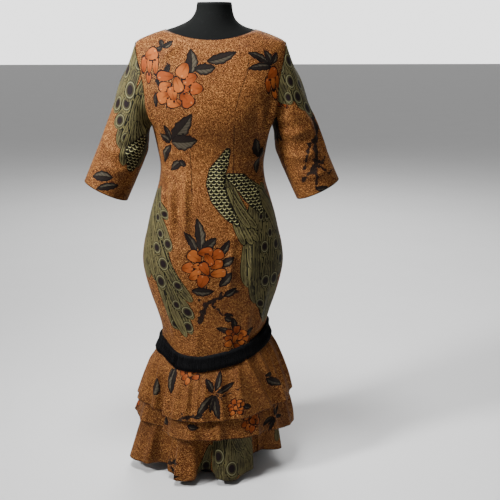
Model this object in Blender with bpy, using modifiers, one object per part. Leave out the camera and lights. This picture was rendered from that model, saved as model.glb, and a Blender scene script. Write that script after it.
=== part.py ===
"""A fitted wax print dress with a layered hem, worn by a black dress form without limbs on a round stand.

Units are metres and +Z is up. The front faces -Y, the wearer's left is +X, and the origin is the middle
of the stand's underside, on the floor. The form and the cloth share one surface, body_point, so that the
cloth lies on the form as it does on the real one.
"""
import math

import bmesh
import bpy
from mathutils import Matrix, Vector

# Cloth and clearances
CLOTH = 0.0015
SEAM_GAP = 0.0003
UP = Vector((0.0, 0.0, 1.0))

# Levels, measured at the side of the body
ARMPIT_LEVEL = 1.052
SHOULDER_TIP_LEVEL = 1.284
NECKLINE_LEVEL = 1.317
FORM_TOP_LEVEL = 1.3857
ZIP_BOTTOM_LEVEL = 0.800
SEAM_TOP_LEVEL = 0.780

# Outside of the cloth, and of the form's neck above it: level at the side, half width, depth of the
# front and of the back, squareness of the outline, how far its front and back lie above the side, and
# how far its middle lies to the wearer's left.
BODY_COLUMNS = ("level", "half_width", "front", "back", "squareness", "front_lift", "back_lift", "middle")
BODY = (
    (0.330, 0.163, 0.134, 0.130, 2.0, 0.0, 0.0, 0.0),
    (0.400, 0.159, 0.131, 0.128, 2.0, 0.0, 0.0, 0.0),
    (0.444, 0.158, 0.128, 0.127, 2.0, 0.0, 0.0, 0.0),
    (0.496, 0.171, 0.130, 0.131, 2.1, 0.0, 0.0, 0.0),
    (0.547, 0.188, 0.134, 0.138, 2.1, 0.0, 0.0, 0.0),
    (0.598, 0.2015, 0.139, 0.146, 2.2, 0.0, 0.0, 0.0),
    (0.648, 0.2095, 0.142, 0.152, 2.2, 0.0, 0.0, 0.0),
    (0.697, 0.2055, 0.140, 0.153, 2.2, 0.0, 0.0, 0.0),
    (0.746, 0.194, 0.136, 0.148, 2.2, 0.0, 0.0, 0.0),
    (0.794, 0.183, 0.129, 0.137, 2.2, 0.0, 0.0, 0.0),
    (0.842, 0.169, 0.121, 0.123, 2.2, 0.0, 0.0, 0.0),
    (0.889, 0.155, 0.114, 0.111, 2.2, 0.0, 0.0, 0.0),
    (0.937, 0.150, 0.110, 0.105, 2.2, 0.0, 0.0, 0.0),
    (0.983, 0.157, 0.114, 0.106, 2.2, 0.0, 0.0, 0.0),
    (1.030, 0.166, 0.125, 0.110, 2.3, 0.0, 0.0, 0.0),
    (1.052, 0.172, 0.131, 0.112, 2.4, 0.0, 0.0, 0.0),
    (1.100, 0.189, 0.136, 0.115, 2.5, 0.002, 0.004, 0.0),
    (1.150, 0.205, 0.130, 0.117, 2.6, 0.006, 0.010, 0.0),
    (1.200, 0.214, 0.115, 0.115, 2.6, 0.010, 0.016, 0.0),
    (1.250, 0.2175, 0.100, 0.106, 2.5, 0.006, 0.014, 0.0),
    (1.284, 0.208, 0.090, 0.096, 2.2, -0.007, 0.005, 0.0),
    (1.303, 0.1705, 0.0865, 0.0915, 2.0, -0.019, -0.005, 0.0),
    (1.317, 0.1275, 0.084, 0.087, 2.0, -0.028, -0.012, 0.0),
    (1.325, 0.0955, 0.073, 0.075, 2.0, -0.020, -0.008, 0.0),
    (1.342, 0.066, 0.060, 0.062, 2.0, -0.008, -0.003, 0.006),
    (1.3635, 0.053, 0.052, 0.053, 2.0, 0.0, 0.0, 0.010),
    (1.3857, 0.049, 0.050, 0.050, 2.0, 0.0, 0.0, 0.011),
)

# Grid of the bodice and skirt panels. Angle 0 is the middle of the front and 90 the wearer's left side.
FRONT_COLUMNS = 18
BACK_COLUMNS = 9
SKIRT_LEVELS = (0.40, 0.422, 0.47, 0.52, 0.57, 0.61, 0.648, 0.69, 0.74, 0.79, 0.84, 0.89, 0.937, 0.983, 1.02)
ARMHOLE_STEPS = 10
SHOULDER_LEVELS = (1.303, 1.317)
FRONT_ARMHOLE_TURN = 29.0
BACK_ARMHOLE_TURN = 19.0
SIDE_FLATNESS = 1.6
SEAM_FADE_FROM = 0.422
SEAM_FADE_TO = 0.57
KNEE_SEAM_GAP = 0.0008

# Sleeve: outer and inner edge of each cross section from the shoulder to the cuff, with its depth.
SLEEVE_COLUMNS = ("outer_x", "outer_z", "inner_x", "inner_z", "front", "back")
SLEEVE = (
    (0.2290, 1.233, 0.1800, 1.028, 0.074, 0.068),
    (0.2450, 1.195, 0.1815, 1.005, 0.078, 0.072),
    (0.2610, 1.155, 0.1855, 0.984, 0.078, 0.071),
    (0.2815, 1.105, 0.1925, 0.960, 0.075, 0.067),
    (0.3025, 1.053, 0.2020, 0.935, 0.072, 0.062),
    (0.3210, 1.007, 0.2130, 0.911, 0.070, 0.057),
    (0.3460, 0.950, 0.2295, 0.874, 0.069, 0.052),
    (0.3720, 0.891, 0.2490, 0.832, 0.068, 0.048),
)
SLEEVE_SIDES = 20
SLEEVE_HEAD_GAP = 0.0005

# Black fringe round the knee: height of its top edge round the body.
FRINGE_COLUMNS = ("angle", "top")
FRINGE_TOP = (
    (-180.0, 0.416),
    (-135.0, 0.417),
    (-90.0, 0.418),
    (-65.0, 0.415),
    (-42.0, 0.390),
    (-18.0, 0.386),
    (0.0, 0.395),
    (30.0, 0.414),
    (60.0, 0.438),
    (90.0, 0.460),
    (135.0, 0.438),
)
FRINGE_STRIP_HEIGHT = 0.012
FRINGE_HEIGHT = 0.043
FRINGE_STRIP_THICKNESS = 0.003
FRINGE_STRIP_GAP = 0.0007
FRINGE_CLEARANCE = 0.0012
FRINGE_THICKNESS = 0.0055
FRINGE_LOCKS = 76
LOCK_TAPER = 0.8
LOCK_UNEVENNESS = 0.004
SEAM_BELOW_FRINGE_TOP = 0.020

# Flounces, sewn into the knee seam one inside the other: for each crest and valley of the hem, how far
# it reaches out from the knee and its height above the floor.
FLOUNCE_COLUMNS = ("angle", "reach", "hem")
FLOUNCE_SIDES = 64
FLOUNCE_TOP = (
    (-112.0, 0.052, 0.222),
    (-90.0, 0.063, 0.229),
    (-70.0, 0.069, 0.222),
    (-54.0, 0.026, 0.206),
    (-38.0, 0.058, 0.206),
    (-15.0, 0.063, 0.208),
    (8.0, 0.058, 0.211),
    (28.0, 0.064, 0.214),
    (50.0, 0.052, 0.219),
    (70.0, 0.074, 0.226),
    (90.0, 0.072, 0.232),
    (112.0, 0.048, 0.230),
    (134.0, 0.067, 0.225),
    (157.0, 0.047, 0.220),
    (180.0, 0.065, 0.218),
    (203.0, 0.048, 0.216),
    (226.0, 0.066, 0.216),
)
FLOUNCE_MIDDLE = (
    (-112.0, 0.058, 0.160),
    (-90.0, 0.082, 0.171),
    (-70.0, 0.076, 0.162),
    (-54.0, 0.030, 0.150),
    (-36.0, 0.070, 0.149),
    (-14.0, 0.066, 0.149),
    (6.0, 0.058, 0.150),
    (26.0, 0.068, 0.150),
    (48.0, 0.058, 0.146),
    (68.0, 0.080, 0.136),
    (90.0, 0.088, 0.126),
    (114.0, 0.056, 0.134),
    (137.0, 0.077, 0.142),
    (160.0, 0.054, 0.147),
    (183.0, 0.074, 0.150),
    (206.0, 0.054, 0.152),
    (228.0, 0.076, 0.153),
)
FLOUNCE_BOTTOM = (
    (-95.0, 0.070, 0.034),
    (-76.0, 0.118, 0.034),
    (-50.0, 0.034, 0.030),
    (-25.0, 0.080, 0.018),
    (-9.0, 0.020, 0.032),
    (10.0, 0.072, 0.018),
    (32.0, 0.036, 0.024),
    (58.0, -0.012, 0.048),
    (80.0, 0.058, 0.038),
    (103.0, 0.018, 0.036),
    (126.0, 0.078, 0.026),
    (147.0, 0.026, 0.028),
    (168.0, 0.082, 0.020),
    (190.0, 0.026, 0.026),
    (211.0, 0.080, 0.020),
    (231.0, 0.028, 0.026),
    (249.0, 0.082, 0.020),
)
# Layer: table, how far inside the seam line it is sewn, how soon it flares, and its rows
LAYER_PITCH = CLOTH + SEAM_GAP
LAYERS = (
    ("flounce_top", FLOUNCE_TOP, 0.0, 0.85, 4),
    ("flounce_middle", FLOUNCE_MIDDLE, LAYER_PITCH, 0.95, 4),
    ("flounce_bottom", FLOUNCE_BOTTOM, 2 * LAYER_PITCH, 1.0, 6),
)
LAYER_SPREAD = 0.007
LAYER_SPREAD_FALL = 0.060

# Zip in the centre back seam
ZIP_OPENING = 0.006
ZIP_CHAIN_WIDTH = 0.0054
SLIDER_LEVEL = 1.290
SLIDER_SIZE = Vector((0.0064, 0.0090, 0.0022))
BAIL_INNER_RADIUS = 0.0011
BAIL_OUTER_RADIUS = 0.0021
BAIL_WIDTH = 0.0016
PIVOT_BELOW_SLIDER_MIDDLE = 0.0015
PIVOT_ABOVE_SLIDER = 0.0015
PULL_SIZE = Vector((0.0066, 0.0240, 0.0012))
PULL_WINDOW = Vector((0.0032, 0.0048))
PULL_LEAN = 8.0

# Dress form and its stand
FORM_COLUMNS = 36
FORM_LEVELS = (0.60, 0.648, 0.70, 0.76, 0.82, 0.865, 0.90, 0.937, 0.975, 1.02, 1.06, 1.10, 1.15, 1.20, 1.25)
FORM_INSET = 0.0045
FORM_SHOULDER_INSET = 0.0018
NECK_PLATE_RADIUS = 0.0485
NECK_PLATE_TOP = 1.390
NECK_MIDDLE = 0.011
POLE_RADIUS = 0.0125
FLANGE_RADIUS = 0.040
FLANGE_HEIGHT = 0.008
BASE_RADIUS = 0.110
BASE_THICKNESS = 0.014
COLLAR_RADIUS = 0.020
COLLAR_HEIGHT = 0.034

# Colour, roughness and metallic value of each material
FINISHES = {
    "wax_print": ((0.31, 0.11, 0.035), 0.80, 0.0),
    "black_fringe": ((0.006, 0.006, 0.007), 0.75, 0.0),
    "zip_tape": ((0.20, 0.08, 0.03), 0.60, 0.0),
    "zip_metal": ((0.55, 0.45, 0.25), 0.30, 1.0),
    "form_jersey": ((0.012, 0.013, 0.014), 0.85, 0.0),
    "stand_metal": ((0.05, 0.05, 0.055), 0.40, 1.0),
}


def clear_scene():
    """Remove whatever the file opened with."""
    for thing in list(bpy.data.objects):
        bpy.data.objects.remove(thing, do_unlink=True)


def new_collection(name):
    group = bpy.data.collections.new(name)
    bpy.context.scene.collection.children.link(group)
    return group


def finish(name):
    if name in bpy.data.materials:
        return bpy.data.materials[name]
    colour, roughness, metallic = FINISHES[name]
    material = bpy.data.materials.new(name)
    material.use_nodes = True
    material.diffuse_color = (*colour, 1.0)
    shader = material.node_tree.nodes["Principled BSDF"]
    shader.inputs["Base Color"].default_value = (*colour, 1.0)
    shader.inputs["Roughness"].default_value = roughness
    shader.inputs["Metallic"].default_value = metallic
    return material


def add_object(name, bm, group, finish_name, smooth=True):
    mesh = bpy.data.meshes.new(name)
    bm.to_mesh(mesh)
    bm.free()
    if smooth:
        mesh.shade_smooth()
        mesh.set_sharp_from_angle(angle=math.radians(40))
    thing = bpy.data.objects.new(name, mesh)
    thing.data.materials.append(finish(finish_name))
    group.objects.link(thing)
    return thing


def hermite(places, values, slopes, at, index):
    span = places[index + 1] - places[index]
    t = (at - places[index]) / span
    near = (1 + 2 * t) * (1 - t) ** 2 * values[index] + t * (1 - t) ** 2 * span * slopes[index]
    far = t * t * (3 - 2 * t) * values[index + 1] - t * t * (1 - t) * span * slopes[index + 1]
    return near + far


def slope_between(places, values, before, after):
    return (values[after] - values[before]) / (places[after] - places[before])


def read_table(rows, columns, wanted, at):
    """Smooth value of one column at a place along the table's first column."""
    places = [row[0] for row in rows]
    values = [row[columns.index(wanted)] for row in rows]
    last = len(rows) - 1
    at = min(max(at, places[0]), places[last])
    slopes = [slope_between(places, values, max(i - 1, 0), min(i + 1, last)) for i in range(last + 1)]
    index = next(i for i in range(last) if at <= places[i + 1])
    return hermite(places, values, slopes, at, index)


def read_ring(rows, columns, wanted, angle):
    """Smooth value of one column of a table that goes once round the body."""
    start = rows[0][0]
    turned_angle = start + (angle - start) % 360.0
    before = ((rows[-1][0] - 360.0, *rows[-1][1:]),)
    after = tuple((row[0] + 360.0, *row[1:]) for row in rows[:2])
    return read_table(before + rows + after, columns, wanted, turned_angle)


def body_point(angle, level, inset=0.0):
    """Point on the outside of the cloth at an angle round the body and a level at its side."""
    half_width, front, back, squareness, front_lift, back_lift, middle = (
        read_table(BODY, BODY_COLUMNS, name, level) for name in BODY_COLUMNS[1:])
    sine = math.sin(math.radians(angle))
    cosine = math.cos(math.radians(angle))
    depth, lift = (front, front_lift) if cosine > 0 else (back, back_lift)
    power = 2.0 / squareness
    x = math.copysign((half_width - inset) * abs(sine) ** power, sine)
    y = -math.copysign((depth - inset) * abs(cosine) ** power, cosine)
    return Vector((middle + x, y, level + lift * cosine * cosine))


def body_outward(angle, level):
    """Direction away from the body, in the level plane."""
    along = body_point(angle + 1.0, level) - body_point(angle - 1.0, level)
    return Vector((along.y, -along.x, 0.0)).normalized()


def seam_level(angle):
    """Level of the knee seam, which lies under the fringe and rises to the wearer's left."""
    return read_ring(FRINGE_TOP, FRINGE_COLUMNS, "top", angle) - SEAM_BELOW_FRINGE_TOP


def skirt_level(angle, level):
    """Level moved so that the lowest rows of a panel follow the knee seam."""
    fade = (SEAM_FADE_TO - level) / (SEAM_FADE_TO - SEAM_FADE_FROM)
    if fade <= 0:
        return level
    return level + (seam_level(angle) - SKIRT_LEVELS[0]) * min(fade, 1.0)


def armhole_levels():
    """Levels of the rows beside an armhole, close together where it turns."""
    middle = (ARMPIT_LEVEL + SHOULDER_TIP_LEVEL) / 2
    reach = (SHOULDER_TIP_LEVEL - ARMPIT_LEVEL) / 2
    turns = [math.pi * step / ARMHOLE_STEPS for step in range(ARMHOLE_STEPS + 1)]
    return [middle - reach * math.cos(turn) for turn in turns]


def armhole_share(level):
    """0 at the armpit and the shoulder tip, 1 half way between, along a half circle."""
    share = (level - ARMPIT_LEVEL) / (SHOULDER_TIP_LEVEL - ARMPIT_LEVEL)
    if share <= 0 or share >= 1:
        return 0.0
    return math.sqrt(1 - (2 * share - 1) ** 2)


def side_gap_angle(level):
    """Angle from the side line to a panel's edge; the body is flatter there than its half width says."""
    return SIDE_FLATNESS * math.degrees(SEAM_GAP / 2 / read_table(BODY, BODY_COLUMNS, "half_width", level))


def grid(columns, rows, place):
    """Sheet of quads whose points come from place(u, v), with u and v from 0 to 1."""
    bm = bmesh.new()
    bmesh.ops.create_grid(bm, x_segments=columns, y_segments=rows, size=0.5)
    for vert in bm.verts:
        vert.co = place(min(max(vert.co.x + 0.5, 0.0), 1.0), min(max(vert.co.y + 0.5, 0.0), 1.0))
    return bm


def thicken(thing, thickness=CLOTH, offset=-1.0):
    wall = thing.modifiers.new("cloth", "SOLIDIFY")
    wall.thickness = thickness
    wall.offset = offset


def panel_levels():
    return list(SKIRT_LEVELS) + armhole_levels() + list(SHOULDER_LEVELS)


def make_front(group):
    """Front: one panel from the shoulders to the knee seam, between the side seams and armholes."""
    levels = panel_levels()
    rows = len(levels) - 1

    def place(u, v):
        level = levels[round(v * rows)]
        edge = 90.0 - side_gap_angle(level) - FRONT_ARMHOLE_TURN * armhole_share(level)
        angle = (2 * u - 1) * edge
        return body_point(angle, skirt_level(angle, level))

    thing = add_object("dress_front", grid(FRONT_COLUMNS, rows, place), group, "wax_print")
    thicken(thing)


def zip_gap_angle(level):
    """Angle from the centre back to the edge of a back panel, wider beside the zip."""
    half_gap = (ZIP_OPENING if level >= SEAM_TOP_LEVEL else SEAM_GAP) / 2
    half_width = read_table(BODY, BODY_COLUMNS, "half_width", level)
    squareness = read_table(BODY, BODY_COLUMNS, "squareness", level)
    return math.degrees(math.asin((half_gap / half_width) ** (squareness / 2)))


def make_back(name, group, side):
    """Half of the back, from its side seam to the zip and the seam below it."""
    levels = panel_levels()
    rows = len(levels) - 1

    def place(u, v):
        level = levels[round(v * rows)]
        near = 90.0 + side_gap_angle(level) + BACK_ARMHOLE_TURN * armhole_share(level)
        far = 180.0 - zip_gap_angle(level)
        share = u if side > 0 else 1 - u
        angle = side * (near + (far - near) * share)
        return body_point(angle, skirt_level(angle, level))

    thicken(add_object(name, grid(BACK_COLUMNS, rows, place), group, "wax_print"))


def armhole_point(turn):
    """Point of the armhole on the +X side: turn 0 is the shoulder tip, 90 the back, 180 the armpit."""
    middle = (ARMPIT_LEVEL + SHOULDER_TIP_LEVEL) / 2
    reach = (SHOULDER_TIP_LEVEL - ARMPIT_LEVEL) / 2
    level = middle + reach * math.cos(math.radians(turn))
    swing = math.sin(math.radians(turn))
    angle = 90.0 + (BACK_ARMHOLE_TURN if swing > 0 else FRONT_ARMHOLE_TURN) * swing
    head = abs(math.cos(math.radians(turn)))
    out = SLEEVE_HEAD_GAP + (CLOTH + SEAM_GAP) * head
    return body_point(angle, level) + Vector((out, 0.0, 0.0))


def sleeve_point(turn, row):
    """Point of a sleeve's cross section on the +X side, turned from its outer edge over the back."""
    section = dict(zip(SLEEVE_COLUMNS, row))
    outer = Vector((section["outer_x"], 0.0, section["outer_z"]))
    inner = Vector((section["inner_x"], 0.0, section["inner_z"]))
    middle = (outer + inner) / 2
    across = outer - middle
    swing = math.sin(math.radians(turn))
    depth = section["back"] if swing > 0 else section["front"]
    return middle + across * math.cos(math.radians(turn)) + Vector((0.0, depth * swing, 0.0))


def make_sleeve(name, group, side):
    """Sleeve: a tube from the armhole to the open cuff."""
    rows = len(SLEEVE)

    def place(u, v):
        turn = 360.0 * (u if side > 0 else 1 - u)
        index = rows - round(v * rows)
        point = armhole_point(turn) if index == 0 else sleeve_point(turn, SLEEVE[index - 1])
        point.x *= side
        return point

    bm = grid(SLEEVE_SIDES, rows, place)
    bmesh.ops.remove_doubles(bm, verts=bm.verts, dist=0.00001)
    thicken(add_object(name, bm, group, "wax_print"))


def larger_of(first, second, softness):
    """At least the larger of two values, rounded where they meet."""
    return (first + second + math.hypot(first - second, softness)) / 2


def layer_spread(fall):
    return LAYER_SPREAD * min(fall / LAYER_SPREAD_FALL, 1.0)


def flounce_out(layer, angle, fall):
    """How far a flounce stands out from its own sewn edge after falling this far below the seam."""
    _, table, _, flare, _ = LAYERS[layer]
    length = seam_level(angle) - read_ring(table, FLOUNCE_COLUMNS, "hem", angle)
    own = read_ring(table, FLOUNCE_COLUMNS, "reach", angle) * (fall / length) ** flare
    if layer == len(LAYERS) - 1:
        return own
    under = flounce_out(layer + 1, angle, fall) + layer_spread(fall)
    return larger_of(own, under, layer_spread(fall))


def flounce_point(layer, angle, fall, extra=0.0):
    _, _, inset, _, _ = LAYERS[layer]
    seam = seam_level(angle)
    out = flounce_out(layer, angle, fall) - inset + extra
    return body_point(angle, seam) + body_outward(angle, seam) * out - UP * (fall + KNEE_SEAM_GAP)


def make_flounce(layer, group):
    """Flounce: a tube that hangs from the knee seam and opens into folds at its hem."""
    name, table, _, _, rows = LAYERS[layer]

    def place(u, v):
        angle = 360.0 * u - 180.0
        hem = read_ring(table, FLOUNCE_COLUMNS, "hem", angle)
        fall = (1 - v) * (seam_level(angle) - hem)
        return flounce_point(layer, angle, fall)

    bm = grid(FLOUNCE_SIDES, rows, place)
    bmesh.ops.remove_doubles(bm, verts=bm.verts, dist=0.00001)
    thicken(add_object(name, bm, group, "wax_print"))


def fringe_root(angle, below_top, out):
    """Point on the fringe's strip, which lies on the skirt over the knee seam."""
    level = read_ring(FRINGE_TOP, FRINGE_COLUMNS, "top", angle) - below_top
    seam = seam_level(angle)
    return body_point(angle, max(level, seam)) + body_outward(angle, seam) * out


def make_fringe(group):
    """Fringe: a narrow strip over the knee seam with separate locks hanging from its lower edge."""
    steps = 2 * FRINGE_LOCKS

    def place(u, v):
        return fringe_root(360.0 * u - 180.0, (1 - v) * FRINGE_STRIP_HEIGHT, FRINGE_STRIP_GAP)

    bm = grid(steps, 1, place)
    bmesh.ops.remove_doubles(bm, verts=bm.verts, dist=0.00001)
    bmesh.ops.recalc_face_normals(bm, faces=bm.faces)
    bmesh.ops.solidify(bm, geom=bm.faces[:], thickness=-FRINGE_STRIP_THICKNESS)
    bmesh.ops.recalc_face_normals(bm, faces=bm.faces)
    under = sorted((face for face in bm.faces if face.normal.z < -0.8), key=face_angle)
    locks = bmesh.ops.extrude_discrete_faces(bm, faces=under[::2])["faces"]
    for number, lock in enumerate(locks):
        shape_lock(lock, number)
    add_object("knee_fringe", bm, group, "black_fringe", smooth=False)


def face_angle(face):
    middle = face.calc_center_median()
    return math.atan2(middle.x, -middle.y)


def shape_lock(lock, number):
    """Lower end of one lock: it hangs just outside the top flounce and is a little uneven."""
    middle = lock.calc_center_median()
    angle = surface_angle(middle)
    uneven = 0.5 + 0.5 * math.sin(2.4 * number) * math.cos(0.7 * number)
    drop = FRINGE_HEIGHT - LOCK_UNEVENNESS * uneven
    fall = drop - SEAM_BELOW_FRINGE_TOP
    along = UP.cross(body_outward(angle, seam_level(angle)))
    for vert in lock.verts:
        sideways = (vert.co - middle).dot(along) * LOCK_TAPER
        outer = (vert.co - middle).dot(body_outward(angle, seam_level(angle))) > 0
        out = FRINGE_CLEARANCE + (FRINGE_THICKNESS if outer else 0.0)
        vert.co = flounce_point(0, angle, fall, out) + along * sideways


def surface_angle(point):
    """Angle of the body surface at knee level nearest to a point."""
    level = seam_level(0.0)
    half_width = read_table(BODY, BODY_COLUMNS, "half_width", level)
    depth = read_table(BODY, BODY_COLUMNS, "front" if point.y < 0 else "back", level)
    return math.degrees(math.atan2(point.x / half_width, -point.y / depth))


def make_zip_chain(group):
    """Zip: a strip in the gap between the two halves of the back."""
    levels = [ZIP_BOTTOM_LEVEL] + [level for level in panel_levels() if level > ZIP_BOTTOM_LEVEL]
    rows = len(levels) - 1

    def place(u, v):
        spine = body_point(180.0, levels[round(v * rows)])
        return Vector(((0.5 - u) * ZIP_CHAIN_WIDTH, spine.y, spine.z))

    bm = grid(1, rows, place)
    thicken(add_object("zip_chain", bm, group, "zip_tape"))


def slider_frame():
    """Axes of the zip slider: across the back, down along the cloth, and away from it."""
    above = body_point(180.0, SLIDER_LEVEL + 0.006)
    below = body_point(180.0, SLIDER_LEVEL - 0.006)
    down = (below - above).normalized()
    across = Vector((1.0, 0.0, 0.0))
    away = across.cross(down).normalized()
    foot = body_point(180.0, SLIDER_LEVEL) + away * (2 * SEAM_GAP)
    frame = Matrix((across, down, away)).transposed().to_4x4()
    return Matrix.Translation(foot) @ frame


def box(size, middle, bevel=0.0):
    bm = bmesh.new()
    bmesh.ops.create_cube(bm, size=1.0, matrix=Matrix.Translation(middle) @ Matrix.Diagonal((*size, 1.0)))
    if bevel:
        bmesh.ops.bevel(bm, geom=bm.edges[:], offset=bevel, segments=1, profile=0.5, affect="EDGES")
    return bm


def ring(outer, inner, width, middle):
    """Flat ring standing across the slider, with its axis along X."""
    bm = bmesh.new()
    turn = Matrix.Rotation(math.radians(90), 4, "Y")
    spot = Matrix.Translation(middle) @ turn @ Matrix.Translation((inner, 0.0, -width / 2))
    points = [spot @ Vector((0.0, 0.0, 0.0)), spot @ Vector((outer - inner, 0.0, 0.0)),
              spot @ Vector((outer - inner, 0.0, width)), spot @ Vector((0.0, 0.0, width))]
    verts = [bm.verts.new(point) for point in points]
    edges = [bm.edges.new((verts[i], verts[(i + 1) % 4])) for i in range(4)]
    bmesh.ops.spin(bm, geom=verts + edges, cent=middle, axis=(1, 0, 0), angle=math.tau,
                   steps=14, use_merge=True)
    bmesh.ops.remove_doubles(bm, verts=bm.verts, dist=0.000001)
    bmesh.ops.recalc_face_normals(bm, faces=bm.faces)
    return bm


def combine(thing, tool, operation):
    cut = thing.modifiers.new(operation.lower(), "BOOLEAN")
    cut.operation = operation
    cut.object = tool
    tool.hide_render = True
    tool.display_type = "WIRE"


def pivot_height():
    return SLIDER_SIZE.z + PIVOT_ABOVE_SLIDER


def make_zip_slider(group, cutters):
    frame = slider_frame()
    body = box(SLIDER_SIZE, Vector((0.0, 0.0, SLIDER_SIZE.z / 2)), 0.0005)
    slider = add_object("zip_slider", body, group, "zip_metal")
    bail_middle = Vector((0.0, PIVOT_BELOW_SLIDER_MIDDLE, pivot_height()))
    bail = add_object("bail_tool", ring(BAIL_OUTER_RADIUS, BAIL_INNER_RADIUS, BAIL_WIDTH, bail_middle),
                      cutters, "zip_metal")
    slider.matrix_world = frame
    bail.matrix_world = frame
    combine(slider, bail, "UNION")


def make_zip_pull(group, cutters):
    """Pull tab: a plate with a window for the slider's bail, turning on its own top bar."""
    bar = PULL_SIZE.z
    plate_middle = Vector((0.0, PULL_SIZE.y / 2 - bar / 2, 0.0))
    pull = add_object("zip_pull", box(PULL_SIZE, plate_middle, 0.00025), group, "zip_metal")
    window_size = Vector((PULL_WINDOW.x, PULL_WINDOW.y, 4 * bar))
    window_middle = Vector((0.0, bar / 2 + PULL_WINDOW.y / 2, 0.0))
    window = add_object("window_tool", box(window_size, window_middle), cutters, "zip_metal")
    pivot = Matrix.Translation((0.0, PIVOT_BELOW_SLIDER_MIDDLE, pivot_height()))
    lean = Matrix.Rotation(math.radians(-PULL_LEAN), 4, "X")
    pull.matrix_world = slider_frame() @ pivot @ lean
    window.matrix_world = pull.matrix_world
    combine(pull, window, "DIFFERENCE")


def form_inset(level):
    """The form touches the cloth at the shoulders, which carry the dress, and is looser below them."""
    return FORM_SHOULDER_INSET if level >= SHOULDER_TIP_LEVEL - 0.001 else FORM_INSET


def make_form(group):
    """Dress form: a closed body inside the cloth, from below the hips to the top of its neck."""
    levels = list(FORM_LEVELS) + [SHOULDER_TIP_LEVEL] + list(SHOULDER_LEVELS)
    levels += [row[0] for row in BODY if row[0] > NECKLINE_LEVEL]
    rows = len(levels) - 1

    def place(u, v):
        level = levels[round(v * rows)]
        inset = 0.0 if level > NECKLINE_LEVEL else form_inset(level)
        point = body_point(360.0 * u - 180.0, level, inset)
        if SHOULDER_TIP_LEVEL - 0.001 <= level <= NECKLINE_LEVEL:
            point.z -= FORM_SHOULDER_INSET
        return point

    bm = grid(FORM_COLUMNS, rows, place)
    bmesh.ops.remove_doubles(bm, verts=bm.verts, dist=0.00001)
    rims = [edge for edge in bm.edges if edge.is_boundary]
    bmesh.ops.holes_fill(bm, edges=rims, sides=0)
    bmesh.ops.recalc_face_normals(bm, faces=bm.faces)
    add_object("form_body", bm, group, "form_jersey")


def turned(name, profile, group, finish_name, steps):
    """Shape turned about an upright axis from a profile down its outer side, from the top of the axis."""
    bm = bmesh.new()
    verts = [bm.verts.new((radius, 0.0, height)) for radius, height in profile]
    for first, second in zip(verts, verts[1:]):
        bm.edges.new((first, second))
    thing = add_object(name, bm, group, finish_name)
    screw = thing.modifiers.new("turn", "SCREW")
    screw.steps = steps
    screw.render_steps = steps
    screw.use_merge_vertices = True
    screw.merge_threshold = 0.0001
    return thing


def make_neck_plate(group):
    bottom = FORM_TOP_LEVEL + SEAM_GAP
    edge = 0.0015
    profile = ((0.0, NECK_PLATE_TOP), (NECK_PLATE_RADIUS - edge, NECK_PLATE_TOP),
               (NECK_PLATE_RADIUS, NECK_PLATE_TOP - edge), (NECK_PLATE_RADIUS, bottom), (0.0, bottom))
    plate = turned("form_neck_plate", profile, group, "form_jersey", 28)
    plate.location.x = NECK_MIDDLE


def make_pole(group):
    top = FORM_LEVELS[0] - SEAM_GAP
    foot = COLLAR_HEIGHT + SEAM_GAP
    profile = ((0.0, top), (FLANGE_RADIUS, top), (FLANGE_RADIUS, top - FLANGE_HEIGHT),
               (POLE_RADIUS, top - FLANGE_HEIGHT), (POLE_RADIUS, foot), (0.0, foot))
    turned("stand_pole", profile, group, "stand_metal", 24)


def make_base(group):
    edge = 0.003
    profile = ((0.0, COLLAR_HEIGHT), (COLLAR_RADIUS, COLLAR_HEIGHT), (COLLAR_RADIUS, BASE_THICKNESS),
               (BASE_RADIUS - edge, BASE_THICKNESS), (BASE_RADIUS, BASE_THICKNESS - edge),
               (BASE_RADIUS, 0.0), (0.0, 0.0))
    turned("stand_base", profile, group, "stand_metal", 32)


def main():
    clear_scene()
    dress = new_collection("wax_print_dress_on_form")
    cutters = new_collection("cutters")
    make_front(dress)
    make_back("dress_back_left", dress, 1)
    make_back("dress_back_right", dress, -1)
    make_sleeve("sleeve_left", dress, 1)
    make_sleeve("sleeve_right", dress, -1)
    for layer in range(len(LAYERS)):
        make_flounce(layer, dress)
    make_fringe(dress)
    make_zip_chain(dress)
    make_zip_slider(dress, cutters)
    make_zip_pull(dress, cutters)
    make_form(dress)
    make_neck_plate(dress)
    make_pole(dress)
    make_base(dress)


main()
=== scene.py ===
# %% [markdown]
# # A wax print dress on a dress form
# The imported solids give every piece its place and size. This script gives the dress its looks: thin cloth
# with soft folds, a printed pattern, a brush fringe, stitching, and materials for the form and its stand.
# %% Load the frame
import math
import random
import bmesh
import bpy
import numpy as np
from mathutils import Matrix, Vector


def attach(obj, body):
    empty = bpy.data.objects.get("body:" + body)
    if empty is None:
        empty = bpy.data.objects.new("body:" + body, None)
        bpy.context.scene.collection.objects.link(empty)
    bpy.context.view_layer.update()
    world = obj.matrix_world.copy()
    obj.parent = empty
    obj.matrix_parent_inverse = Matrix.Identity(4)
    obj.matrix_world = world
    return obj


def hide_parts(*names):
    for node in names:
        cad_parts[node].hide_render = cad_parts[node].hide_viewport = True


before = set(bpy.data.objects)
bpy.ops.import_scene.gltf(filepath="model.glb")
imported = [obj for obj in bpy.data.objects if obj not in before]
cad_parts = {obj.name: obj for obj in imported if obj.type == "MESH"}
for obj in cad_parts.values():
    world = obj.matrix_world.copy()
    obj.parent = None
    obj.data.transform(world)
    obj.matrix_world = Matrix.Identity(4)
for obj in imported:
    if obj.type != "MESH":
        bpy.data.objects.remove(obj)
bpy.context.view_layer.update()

DRESS = "dress_and_form"

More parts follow.
